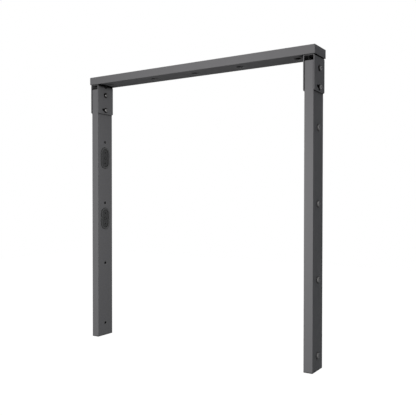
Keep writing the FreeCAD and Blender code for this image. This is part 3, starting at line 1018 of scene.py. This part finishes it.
@dataclass(frozen=True)
class Washer:
    """A flat washer whose level 0 is the face that it rests on."""

    diameter: float
    bore: float
    thickness: float
    edge: float = 0.3 * MM

    def build(self, name: str) -> Piece:
        """The washer along X as a pattern."""
        inner, top, edge = -(self.diameter - self.bore) / 2, self.thickness, self.edge
        profile = rounded((0.0, 0.0, edge), (0.0, top, edge), (inner, top, edge / 2), (inner, 0.0, edge / 2))
        return swept(name, [(circle(self.diameter), profile)], closed=True)


@dataclass(frozen=True)
class Sleeve:
    """A threaded sleeve between a post's walls, with a weld bead at each end."""

    diameter: float
    bore: float
    length: float
    bead: float = 1.2 * MM
    chamfer: float = 0.5 * MM

    def build(self, name: str) -> Piece:
        """The sleeve along X as a pattern, centred at level 0."""
        half, inner = self.length / 2, -(self.diameter - self.bore) / 2
        bead, mouth, thread = self.bead, inner + self.chamfer, half - self.chamfer
        profile = rounded(
            (bead, -half), (0.0, bead - half, bead / 2), (0.0, half - bead, bead / 2), (bead, half),
            (mouth, half), (inner, thread), (inner, -thread), (mouth, -half))
        return swept(name, [(circle(self.diameter), profile)], closed=True)


def tipped_down(shape: Piece) -> Piece:
    """Turn a pattern whose head looks along X so that it looks down."""
    for vertex in shape.data.vertices:
        x, y, z = vertex.co
        vertex.co = (z, y, -x)
    return shape


# Ceiling beam


@dataclass
class CeilingBeam:
    """The tube under the ceiling with its end caps and the plates that take the brackets' screws."""

    shop: Workshop
    finishes: Finishes
    lip: float = 0.35 * MM
    driver_opening: float = 28.0 * MM
    bracket_screw_hole: float = 8.5 * MM
    bracket_screws_apart: Triple = (0.0, 30.0 * MM, 0.0)
    plate_corner: float = 1.5 * MM
    plate_edge: float = 0.5 * MM
    plate_hole: float = 8.2 * MM
    cap_plug_wall: float = 2.0 * MM
    cap_plug_round: float = 0.4 * MM
    cap_flange: float = 2.5 * MM
    cap_round: float = 0.8 * MM
    cap_crown: float = 0.35 * MM
    cap_crown_shares: tuple[float, ...] = (0.3, 0.5, 0.7, 1.0)
    cap_ridge: float = 0.2 * MM
    seam: float = 0.15 * MM
    box: Extent = field(init=False)
    tube: Tube = field(init=False)

    def __post_init__(self) -> None:
        """Take the tube's place from the frame."""
        self.box = Extent.of("beam_tube")
        self.tube = Tube(self.box.size.y, self.box.size.z)

    def build(self) -> None:
        """Make every piece of the beam."""
        self.make_tube()
        for side in Side:
            self.make_cap(side)
        self.make_nut_plates()

    def make_tube(self) -> None:
        """The tube, drilled for the ceiling, the drivers, the cables and the brackets' screws."""
        box, wall, coat = self.box, self.tube.wall, self.finishes.beam_coat
        ends = (box.low.x, 0.0, box.centre.z), (box.high.x, 0.0, box.centre.z)
        piece = self.tube.build(self.shop, "ceiling_tube", ends, coat)
        upper = lipped((box.high.z - wall, box.high.z), lip=self.lip)
        lower = lipped((box.low.z, box.low.z + wall), lip=self.lip)
        bolts = [mount(f"ceiling_bolts_{place}")["dims"] for place in ("inner", "outer")]
        bolt_pairs = [Row.pair((0.0, 0.0, 0.0), (dims["spacing_x_mm"] * MM, 0.0, 0.0)) for dims in bolts]
        plates = [side.box("nut_plate").centre.x for side in Side]
        screw_pairs = [Row.pair((x, 0.0, 0.0), self.bracket_screws_apart) for x in plates]
        opening = circle(self.driver_opening)
        self.shop.cut(
            piece, coat,
            Hole("ceiling_hole", circle(2 * bolts[0]["hole_r_mm"] * MM), upper, bolt_pairs, Axis.Z),
            Hole("driver_opening", opening, lower, [*bolt_pairs, Row()], Axis.Z),
            Hole("cable_entry", opening, upper, [Row()], Axis.Z),
            Hole("bracket_screw_hole", circle(self.bracket_screw_hole), lower, screw_pairs, Axis.Z))
        self.shop.deliver(piece, BEAM, ["beam_tube"], coat)

    def make_cap(self, side: Side) -> None:
        """A moulded plug whose crowned flange closes one end of the tube."""
        box, tube = side.box("beam_end_cap"), self.tube
        inside, behind, tip = -self.cap_plug_wall, self.seam - self.cap_flange, -box.size.x
        crown = crowned(tube.depth / 2 - self.cap_ridge, -self.cap_crown, self.cap_crown_shares)
        face = rounded(
            (-self.seam, -self.cap_flange), (0.0, behind), (0.0, -self.cap_crown, self.cap_round), crown[0])
        shape = swept("beam_end_cap", [
            (tube.plug, [(inside, behind), (inside, tip)]),
            (tube.plug, rounded((inside, tip), (0.0, tip, self.cap_plug_round), (0.0, -self.cap_flange))),
            (tube.outline, [*face, *crown[1:]]),
        ])
        end = box.high.x if side is Side.RIGHT else box.low.x
        row = Row((end, 0.0, self.box.centre.z), turn=side.outward)
        self.shop.place(f"{side.word}_beam_end_cap", shape, [row], BEAM, [side.node("beam_end_cap")],
                        self.finishes.cap_plastic)

    def make_nut_plates(self) -> None:
        """The two threaded plates on the tube's lower wall."""
        left, right = (side.box("nut_plate") for side in Side)
        size, edge, zinc = left.size, self.plate_edge, self.finishes.zinc_plate
        profile = rounded((-2 * edge, 0.0), (0.0, 0.0, edge), (0.0, size.z, edge), (-2 * edge, size.z))
        plate = swept("nut_plate", [(Outline(size.x, size.y, self.plate_corner), profile)], Axis.Z)
        threads = Row.pair((0.0, 0.0, 0.0), self.bracket_screws_apart)
        self.shop.cut(plate, zinc, Hole(
            "nut_plate_hole", circle(self.plate_hole), lipped((0.0, size.z), lip=edge), [threads], Axis.Z))
        row = Row((left.centre.x, left.centre.y, left.low.z), 2, (right.centre.x - left.centre.x, 0.0, 0.0))
        self.shop.place("bracket_nut_plates", self.shop.settle(plate), [row], BEAM,
                        [side.node("nut_plate") for side in Side], zinc)


# Tilt brackets


@dataclass
class TiltBracket:
    """A U of bent sheet under the beam, with its screws into the beam."""

    shop: Workshop
    finishes: Finishes
    side: Side
    sheet: float = 3.0 * MM
    bend: float = 5.0 * MM
    ear_corner: float = 6.0 * MM
    ear_corner_sweep: float = radians(72)
    edge: float = 0.4 * MM
    edge_middle: float = 0.3
    lip: float = 0.35 * MM
    pivot_hole: float = 8.1 * MM
    clamp_radius: float = 58.5 * MM
    slot_half: float = 4.3 * MM
    web_hole: float = 8.5 * MM
    screws_apart: Triple = (0.0, 30.0 * MM, 0.0)
    screw_head: float = 14.0 * MM
    beam_wall: float = 2.0 * MM
    notch_radius: float = 8.0 * MM
    notch_drop: float = 2.5 * MM
    notch_reach: float = 8.0 * MM
    washer_thickness: float = 1.6 * MM
    bend_steps: int = 8
    corner_steps: int = 9
    box: Extent = field(init=False)

    def __post_init__(self) -> None:
        """Take the bracket's place from the frame."""
        self.box = self.side.box("tilt_bracket")

    def build(self) -> None:
        """Make the bracket and its screws."""
        self.make_sheet()
        self.make_screws()

    def profile(self, inset: float, bottom: float) -> Profile:
        """The U's section at one depth, thinned from both faces, down to a level."""
        half, edge = self.box.size.x / 2, self.edge
        centre = (half - self.bend, self.box.high.z - self.bend)
        outer, inner, middle = half - inset, half - self.sheet + inset, self.edge_middle * edge
        chamfer = ((0.0, edge), (middle, middle), (edge, 0.0))
        right_half = [
            *arc(centre, self.bend - inset, pi / 2, 0.0, self.bend_steps),
            *((outer - aside, bottom + up) for aside, up in chamfer),
            *((inner + aside, bottom + up) for aside, up in reversed(chamfer)),
            *arc(centre, self.bend - self.sheet + inset, 0.0, pi / 2, self.bend_steps),
        ]
        return right_half + [(-x, z) for x, z in reversed(right_half)]

    def stations(self) -> list[Triple]:
        """Where sections lie from front to back: the place, how thin and how low each is."""
        half, low, corner, edge = self.box.size.y / 2, self.box.low.z, self.ear_corner, self.edge
        sweeps = ((corner, self.ear_corner_sweep, self.corner_steps), (edge, pi / 2, ROUND_STEPS))
        places = [half - radius + radius * sin(sweep * step / steps)
                  for radius, sweep, steps in sweeps for step in range(steps + 1)]

        def cut_back(radius: float, place: float) -> float:
            """How much a round edge takes off at a place."""
            past = min(radius, max(0.0, place - (half - radius)))
            return radius - sqrt(radius ** 2 - past ** 2)

        found = [(place, cut_back(edge, place), low + cut_back(corner, place)) for place in places]
        return [(-place, inset, bottom) for place, inset, bottom in reversed(found)] + found

    def make_sheet(self) -> None:
        """The bent sheet with its pivot holes, clamp slots, screw holes and cable notch."""
        box, coat = self.box, self.finishes.bracket_coat
        joint = named(frame["joints"], f"{self.side.word}_tilt")
        piece = skin(f"{self.side.word}_tilt_bracket", [
            [(box.centre.x + x, box.centre.y + y, z) for x, z in self.profile(inset, bottom)]
            for y, inset, bottom in self.stations()])
        half, top, down = box.size.x / 2, box.high.z, -pi / 2
        ears = lipped((-half, self.sheet - half), (half - self.sheet, half), lip=self.lip)
        web = lipped((top - self.sheet, top), lip=self.lip)
        slot = ArcSlot(self.clamp_radius, self.slot_half, down, down - radians(joint["range_deg"][1]))
        at_pivot = Row(tuple(joint["pos_m"]))
        at_web = Row.pair((box.centre.x, 0.0, 0.0), self.screws_apart)
        at_notch = Row((box.centre.x, 0.0, top - self.notch_drop), turn=self.side.inward)
        self.shop.cut(
            piece, coat,
            Hole("pivot_hole", circle(self.pivot_hole), ears, [at_pivot]),
            Hole("clamp_slot", slot, ears, [at_pivot]),
            Hole("web_hole", circle(self.web_hole), web, [at_web], Axis.Z),
            Hole("cable_notch", circle(2 * self.notch_radius),
                 [(0.0, half - self.notch_reach), (0.0, half + OVERRUN)], [at_notch]))
        self.shop.deliver(piece, BEAM, [self.side.node("tilt_bracket")], coat)

    def make_screws(self) -> None:
        """The two screws and washers under the web, heads down."""
        screws, washers = self.side.box("bracket_screws"), self.side.box("bracket_washers")
        seat, word = washers.low.z, self.side.word
        screw = ButtonScrew(self.screw_head, seat - screws.low.z, screws.high.z - seat,
                            self.sheet + self.washer_thickness + self.beam_wall)
        washer = Washer(washers.size.x, self.web_hole, self.washer_thickness)
        for part, shape, level, finish in (
            ("screws", screw, seat, self.finishes.dark_screw),
            ("washers", washer, washers.high.z, self.finishes.black_washer),
        ):
            pattern = tipped_down(shape.build(f"{word}_web_{part}"))
            row = Row.pair((screws.centre.x, 0.0, level), self.screws_apart)
            self.shop.place(f"{word}_bracket_{part}", pattern, [row], BEAM,
                            [self.side.node(f"bracket_{part}")], finish)


# Posts


@dataclass
class Post:
    """A long tube that hangs between a bracket's ears, with its caps, plugs and clamp screws."""

    shop: Workshop
    finishes: Finishes
    side: Side
    lip: float = 0.35 * MM
    screw_hole: float = 8.5 * MM
    thread_bore: float = 8.2 * MM
    thread_start: float = 1.0 * MM
    head_height: float = 4.4 * MM
    screw_reach: float = 3.0 * MM
    washer_thickness: float = 2.0 * MM
    access_hole: float = 15.0 * MM
    plug_neck: float = 14.6 * MM
    plug_height: float = 5.5 * MM
    plug_edge: float = 1.2 * MM
    plug_rim: float = 1.92 * MM
    plug_dish_slope: Pair = (2.64 * MM, 3.84 * MM)
    plug_depth: float = 5.0 * MM
    plug_skin: float = 1.5 * MM
    plug_barb: float = 0.5 * MM
    plug_dish: float = 0.3 * MM
    pole: float = 0.5 * MM
    cap_flange: float = 2.0 * MM
    cap_opening: Pair = (16 * MM, 52 * MM)
    cap_land: float = 1.0 * MM
    cap_edge: float = 0.5 * MM
    cap_wall: float = 2.0 * MM
    foot_flange: float = 4.0 * MM
    foot_round: float = 0.8 * MM
    foot_crown: float = 0.4 * MM
    foot_crown_shares: tuple[float, ...] = (1.0, 0.6, 0.3)
    foot_gap: float = 0.3 * MM
    foot_ridge: float = 0.2 * MM
    rib_reach: float = 18.0 * MM
    rib: float = 2.0 * MM
    box: Extent = field(init=False)
    tube: Tube = field(init=False)
    pivot: Vector = field(init=False)

    def __post_init__(self) -> None:
        """Take the tube's place and the pivot from the frame."""
        self.box = self.side.box("post_tube")
        self.tube = Tube(self.box.size.x, self.box.size.y)
        self.pivot = self.side.box("pivot_sleeve").centre

    @property
    def drop(self) -> Triple:
        """The step from the pivot screw to the clamp screw."""
        return (0.0, 0.0, self.side.box("clamp_sleeve").centre.z - self.pivot.z)

    def display_holes(self) -> tuple[Row, float]:
        """The row of the display holes from the lowest up, and their diameter."""
        inner, outer = (mount(f"{self.side.word}_display_bolts_{place}") for place in ("inner", "outer"))
        pitch, span = inner["dims"]["spacing_y_mm"] * MM, outer["dims"]["spacing_y_mm"] * MM
        lowest = (self.box.centre.x, 0.0, inner["pos_m"][2] - span / 2)
        row = Row(lowest, round(span / pitch) + 1, (0.0, 0.0, pitch), self.side.inward)
        return row, 2 * inner["dims"]["hole_r_mm"] * MM

    def build(self) -> None:
        """Make every piece of the post."""
        self.make_tube()
        self.make_top_cap()
        self.make_foot_cap()
        self.make_clamping()
        self.make_plugs()

    def make_tube(self) -> None:
        """The tube with its display holes, access holes, screw holes and gland openings."""
        box, side, coat = self.box, self.side, self.finishes.powder_coat
        x, face = box.centre.x, self.tube.width / 2
        ends = (x, 0.0, box.low.z), (x, 0.0, box.high.z)
        piece = self.tube.build(self.shop, f"{side.word}_post_tube", ends, coat)
        bore = face - self.tube.wall
        one_wall = lipped((bore, face), lip=self.lip)
        both_walls = lipped((-face, -bore), (bore, face), lip=self.lip)
        row, diameter = self.display_holes()
        screws = Row((x, 0.0, self.pivot.z), 2, self.drop)
        holes = [
            Hole("display_hole", circle(diameter), one_wall, [row]),
            Hole("access_hole", circle(self.access_hole), one_wall, [replace(row, turn=side.outward)]),
            Hole("screw_hole", circle(self.screw_hole), both_walls, [screws]),
        ]
        if side is Side.LEFT:
            holes.append(Hole("gland_opening", CableGlands.opening(), one_wall, [CableGlands.row(x)]))
        self.shop.cut(piece, coat, *holes)
        self.shop.deliver(piece, side.post, [side.node("post_tube")], coat)

    def make_top_cap(self) -> None:
        """The edge cap on the upper end, open in the middle for cables."""
        box, tube, land, edge = self.side.box("post_top_cap"), self.tube, self.cap_land, self.cap_edge
        flange, skirt, inside = -self.cap_flange, -box.size.z, -self.cap_wall
        piece = swept(f"{self.side.word}_post_top_cap", [
            (tube.outline, rounded((0.0, flange), (0.0, 0.0, edge), (-land, 0.0))),
            (stadium(*self.cap_opening), rounded((land, 0.0), (0.0, 0.0, edge), (0.0, flange))),
            (tube.plug, [(inside, flange), (inside, skirt), (0.0, skirt), (0.0, flange)]),
        ], Axis.Z, (box.centre.x, 0.0, box.high.z), closed=True)
        self.shop.deliver(piece, self.side.post, [self.side.node("post_top_cap")], self.finishes.cap_plastic)

    def make_foot_cap(self) -> None:
        """The plug in the lower end: a crowned flange, a shadow gap and a plug with three cells."""
        box, plug, plastic = self.side.box("post_foot_cap"), self.tube.plug, self.finishes.foot_plastic
        soft, gap, flange, top = self.foot_round, self.foot_gap, self.foot_flange, box.size.z
        at = (box.centre.x, 0.0, box.low.z)
        *dome, last = crowned(self.tube.width / 2 - self.foot_ridge, self.foot_crown, self.foot_crown_shares)
        piece = swept(f"{self.side.word}_post_foot_cap", [
            (self.tube.outline, dome),
            (self.tube.outline, rounded(
                last, (0.0, self.foot_crown, soft), (0.0, flange - gap, gap),
                (-2 * gap, flange - gap, self.foot_ridge), (-2 * gap, flange))),
            (plug, rounded((0.0, flange), (0.0, top, self.cap_edge), (-self.cap_land, top))),
        ], Axis.Z, at)
        cell = plug.width - 2 * self.cap_wall
        long_cell = 2 * self.rib_reach - self.rib
        end_cell = (plug.depth - 2 * self.cap_wall - long_cell) / 2 - self.rib
        end_cells = Row.pair(at, (0.0, long_cell + 2 * self.rib + end_cell, 0.0))
        depth = [(0.0, flange), (0.0, top + OVERRUN)]
        self.shop.cut(
            piece, plastic,
            Hole("foot_cell", Outline(cell, long_cell, soft), depth, [Row(at)], Axis.Z),
            Hole("foot_end_cell", Outline(cell, end_cell, soft), depth, [end_cells], Axis.Z))
        self.shop.deliver(piece, self.side.post, [self.side.node("post_foot_cap")], plastic)

    def make_clamping(self) -> None:
        """The pivot and clamp screws with their washers, and the sleeves that they run in."""
        side, finishes = self.side, self.finishes
        screws, washers, sleeve = (side.box(f"pivot_{part}") for part in ("screws", "washers", "sleeve"))
        seat = screws.size.x / 2 - self.head_height
        rest = washers.size.x / 2 - self.washer_thickness
        screw = ButtonScrew(screws.size.z, self.head_height, seat - self.screw_reach,
                            seat - sleeve.size.x / 2 + self.thread_start)
        washer = Washer(washers.size.z, self.screw_hole, self.washer_thickness)
        bush = Sleeve(sleeve.size.z, self.thread_bore, sleeve.size.x)
        x, z = self.pivot.x, self.pivot.z
        for name, part, shape, places, finish in (
            ("clamping_screws", "screws", screw, ((seat, 0.0), (-seat, pi)), finishes.dark_screw),
            ("clamping_washers", "washers", washer, ((rest, 0.0), (-rest, pi)), finishes.black_washer),
            ("threaded_sleeves", "sleeve", bush, ((0.0, 0.0),), finishes.zinc_plate),
        ):
            rows = [Row((x + away, 0.0, z), 2, self.drop, turn) for away, turn in places]
            nodes = [side.node(f"{place}_{part}") for place in ("pivot", "clamp")]
            self.shop.place(f"{side.word}_{name}", shape.build(part), rows, side.post, nodes, finish)

    def make_plugs(self) -> None:
        """Four short round plugs that close the access holes."""
        side, face, slack = self.side, self.tube.width / 2, self.tube.plug_clearance
        head, neck = circle(side.box("access_plugs").size.y), circle(self.plug_neck)
        tip, top, wall = face - self.plug_depth, face + self.plug_height, face - self.tube.wall
        dish, inside, edge, barb = self.plug_dish, -self.plug_skin, self.plug_edge, self.plug_barb
        slope_start, slope_end = self.plug_dish_slope
        ceiling = top + inside - dish
        shape = swept("access_plug", [
            (neck, [(self.pole - neck.width / 2, ceiling)]),
            (neck, rounded((2 * inside, ceiling), (inside, ceiling - dish, edge / 2), (inside, tip))),
            (neck, [(-barb, tip), (barb + slack, wall - slack), (0.0, wall), (0.0, face)]),
            (head, rounded((-dish, face), (0.0, face + dish), (0.0, top, edge), (-self.plug_rim, top))),
            (head, [(-slope_start, top - dish / 2), (-slope_end, top - dish),
                    (self.pole - head.width / 2, top - dish)]),
        ])
        row = replace(self.display_holes()[0], turn=side.outward)
        self.shop.place(f"{side.word}_access_plugs", shape, [row], side.post, [side.node("access_plugs")],
                        self.finishes.plug_plastic)


@dataclass
class CableGlands:
    """The two long cable glands in the left post's inner face: frames, membranes and backing rings."""

    shop: Workshop
    finishes: Finishes
    rim: float = 6.0 * MM
    rim_edges: Pair = (0.8 * MM, 0.5 * MM)
    neck_wall: float = 3.0 * MM
    proud: float = 2.0 * MM
    wall: float = 2.0 * MM
    gap: float = 0.2 * MM
    membrane_thickness: float = 3.0 * MM
    membrane_step: float = 0.6 * MM
    membrane_slope: Pair = (0.9 * MM, 1.2 * MM)
    membrane_round: float = 0.3 * MM
    membrane_rise: float = 0.4 * MM
    membrane_land: float = 3.0 * MM
    membrane_skirt: float = 1.0 * MM
    nipple_reach: float = 20.6 * MM
    nipple: float = 15.0 * MM
    nipple_height: float = 0.7 * MM
    nipple_foot: float = 0.1 * MM
    nipple_slope: float = 1.6 * MM
    nipple_round: float = 1.0 * MM
    nipple_mouth: Pair = (3.4 * MM, 1.5 * MM)
    pilot_hole: float = 5.0 * MM
    boss: float = 9.0 * MM
    boss_groove: float = 2.0 * MM
    groove_depth: float = 1.0 * MM
    backing_rim: float = 10.0 * MM
    backing_thickness: float = 2.0 * MM
    edge: float = 0.5 * MM

    @staticmethod
    def row(x: float) -> Row:
        """The row of the lower and the upper gland, at a place along the beam."""
        lower, upper = (Extent.of(f"{place}_cable_gland_frame").centre.z for place in ("lower", "upper"))
        return Row((x, 0.0, lower), 2, (0.0, 0.0, upper - lower))

    @staticmethod
    def opening() -> Outline:
        """The hole in the post's wall that a gland's neck fits."""
        size = Extent.of("lower_cable_gland_frame").size
        slack = 2 * (CableGlands.rim - CableGlands.neck_wall - CableGlands.gap)
        return stadium(size.y - slack, size.z - slack)

    def build(self) -> None:
        """Make the three pieces of both glands."""
        size = Extent.of("lower_cable_gland_frame").size
        outline = stadium(size.y, size.z)
        row = self.row(Side.LEFT.box("post_tube").high.x)
        for part, shape, finish in (
            ("frame", self.frame_shape(outline), self.finishes.gland_plastic),
            ("membrane", self.membrane_shape(outline), self.finishes.gland_rubber),
            ("backing", self.backing_shape(outline), self.finishes.gland_plastic),
        ):
            nodes = [f"{place}_cable_gland_{part}" for place in ("lower", "upper")]
            self.shop.place(f"cable_gland_{part}s", shape, [row], Side.LEFT.post, nodes, finish)

    def frame_shape(self, outline: Outline) -> Piece:
        """The bezel with its neck through the wall."""
        outer_edge, inner_edge = self.rim_edges
        neck = self.neck_wall - self.rim
        return swept("gland_frame", [(outline, rounded(
            (0.0, 0.0), (0.0, self.proud, outer_edge), (-self.rim, self.proud, inner_edge),
            (-self.rim, -self.wall), (neck, -self.wall), (neck, 0.0)))], closed=True)

    def membrane_shape(self, outline: Outline) -> Piece:
        """The soft membrane with two collared pilot holes and a round boss between them."""
        rubber, soft = self.finishes.gland_rubber, self.membrane_round
        edge, top = -self.rim - self.gap, self.membrane_thickness - self.wall
        step, collar, foot = top - self.membrane_step, top + self.nipple_height, top - self.nipple_foot
        (slope_foot, slope_top), (mouth_top, mouth_foot) = self.membrane_slope, self.nipple_mouth
        slab = swept("gland_membrane", [(outline, rounded(
            (edge - self.membrane_skirt, -self.wall), (edge, -self.wall, soft), (edge, step, soft),
            (edge - slope_foot, step, soft), (edge - slope_top, top, self.membrane_rise),
            (edge - self.membrane_land, top)))])
        nipple = swept("gland_nipple", [(circle(self.nipple), rounded(
            (-self.edge, top - self.edge), (0.0, foot), (-self.nipple_slope, collar, self.nipple_round),
            (mouth_top - self.nipple / 2, collar, self.edge), (mouth_foot - self.nipple / 2, foot)))])
        pair = Row.pair((0.0, 0.0, 0.0), (0.0, 0.0, 2 * self.nipple_reach))
        self.shop.repeat(slab, nipple, [pair], RowAction.JOIN, rubber)
        self.shop.cut(slab, rubber, Hole(
            "gland_pilot_hole", circle(self.pilot_hole), lipped((-self.wall, collar), lip=soft), [pair]))
        half, above, below = self.boss_groove / 2, top + self.groove_depth, top - self.groove_depth
        groove_profile = rounded(
            (-half, above), (-half, below, self.edge), (half, below, self.edge), (half, above))
        groove = swept(
            "gland_groove", [(circle(self.boss + self.boss_groove), groove_profile)], closed=True)
        self.shop.repeat(slab, groove, [Row()], RowAction.CUT, rubber)
        return self.shop.settle(slab)

    def backing_shape(self, outline: Outline) -> Piece:
        """The ring that holds the gland from inside the post."""
        outer = (Extent.of("lower_cable_gland_backing").size.y - outline.width) / 2
        inner, far = outer - self.backing_rim, -self.wall - self.backing_thickness
        return swept("gland_backing", [(outline, rounded(
            (outer, -self.wall), (outer, far, self.edge), (inner, far, self.edge), (inner, -self.wall)))],
            closed=True)


# Studio


@dataclass(frozen=True)
class Lamp:
    """A soft lamp that looks at a point. Its size is the side of a square, or a sun's angle."""

    name: str
    kind: str
    place: Triple
    target: Triple
    size: float
    power: float
    colour: Triple = (1.0, 0.966, 0.93)

    def light(self) -> None:
        """Hang the lamp."""
        data = bpy.data.lights.new(self.name, self.kind)
        if self.kind == "SUN":
            data.angle = self.size
        else:
            data.size = self.size
        data.energy = self.power
        data.color = self.colour
        lamp = bpy.data.objects.new(self.name, data)
        lamp.location = self.place
        lamp.rotation_euler = (Vector(self.target) - Vector(self.place)).to_track_quat("-Z", "Y").to_euler()
        bpy.context.scene.collection.objects.link(lamp)


@dataclass
class Studio:
    """The camera, the lamps, the white surround and the floor of a room of usual height."""

    lens: float = 49.89
    camera_place: Triple = (1.1303, -1.688, -0.4683)
    camera_turn: Triple = (89.095, -0.05, 32.571)
    camera_range: float = 100.0
    floor_drop: float = 2.5
    floor_side: float = 30.0
    floor_colour: Triple = (0.18, 0.18, 0.18)
    floor_roughness: float = 0.9
    floor_lift: float = 0.93
    surround: float = 0.27
    lamps: tuple[Lamp, ...] = (
        Lamp("key", "SUN", (-0.4, -4.2, 3.4), (0.0, 0.0, -0.5), radians(12), 1.38),
        Lamp("fill", "AREA", (0.4, -1.0, -0.34), (-0.43, -0.33, -0.6), 0.3, 9.1),
    )

    def build(self) -> None:
        """Set up the room."""
        self.make_camera()
        self.make_surround()
        self.make_floor()
        for lamp in self.lamps:
            lamp.light()
        bpy.context.scene.view_settings.view_transform = "Standard"

    def make_camera(self) -> None:
        """The camera at the photograph's viewing angle."""
        data = bpy.data.cameras.new("camera")
        data.lens = self.lens
        data.clip_end = self.camera_range
        camera = bpy.data.objects.new("camera", data)
        camera.location = self.camera_place
        camera.rotation_euler = [radians(angle) for angle in self.camera_turn]
        bpy.context.scene.collection.objects.link(camera)
        bpy.context.scene.camera = camera

    def seen(self, graph: Graph) -> Socket:
        """1 for the rays that look at the surround, straight or in a reflection."""
        path = graph.node("ShaderNodeLightPath").outputs
        looks = graph.maths("MAXIMUM", path["Is Camera Ray"], path["Is Glossy Ray"])
        return graph.maths("MAXIMUM", looks, path["Is Transmission Ray"])

    def make_surround(self) -> None:
        """A white background that lights the object at a plain level."""
        world = bpy.data.worlds.new("surround")
        bpy.context.scene.world = world
        graph = Graph.of(world)
        strength = graph.spread(self.seen(graph), (0.0, 1.0), (self.surround, 1.0))
        light = graph.node("ShaderNodeBackground", {"Color": (1, 1, 1, 1), "Strength": strength})
        graph.node("ShaderNodeOutputWorld", {"Surface": light.outputs[0]})

    def make_floor(self) -> None:
        """A plain pale floor, lifted to white for the camera under the object's shadow."""
        half, level = self.floor_side / 2, -self.floor_drop
        floor = blank("floor")
        corners = [(x, y, level) for x, y in ((-half, -half), (half, -half), (half, half), (-half, half))]
        floor.data.from_pydata(corners, [], [(0, 1, 2, 3)])
        bpy.context.scene.collection.objects.link(floor)
        material = bpy.data.materials.new("pale_floor")
        graph = Graph.of(material)
        surface = graph.node("ShaderNodeBsdfPrincipled", {
            "Base Color": (*self.floor_colour, 1.0), "Roughness": self.floor_roughness,
            "Specular IOR Level": 0.0, "Emission Color": (1, 1, 1, 1),
            "Emission Strength": graph.maths("MULTIPLY", self.seen(graph), self.floor_lift)})
        graph.node("ShaderNodeOutputMaterial", {"Surface": surface.outputs[0]})
        floor.data.materials.append(material)


def corners(bounds: tuple[Vector, Vector]) -> list[list[float]]:
    """Two corners as plain lists."""
    return [list(corner) for corner in bounds]


def main() -> None:
    """Build the room and every sub-assembly in order."""
    logging.basicConfig(level=logging.INFO, format="%(name)s %(message)s")
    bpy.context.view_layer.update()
    Studio().build()
    shop = Workshop()
    finishes = Finishes.make()
    CeilingBeam(shop, finishes).build()
    for side in Side:
        TiltBracket(shop, finishes, side).build()
        Post(shop, finishes, side).build()
    CableGlands(shop, finishes).build()
    shop.clear_up()


if __name__ == "__main__":
    main()
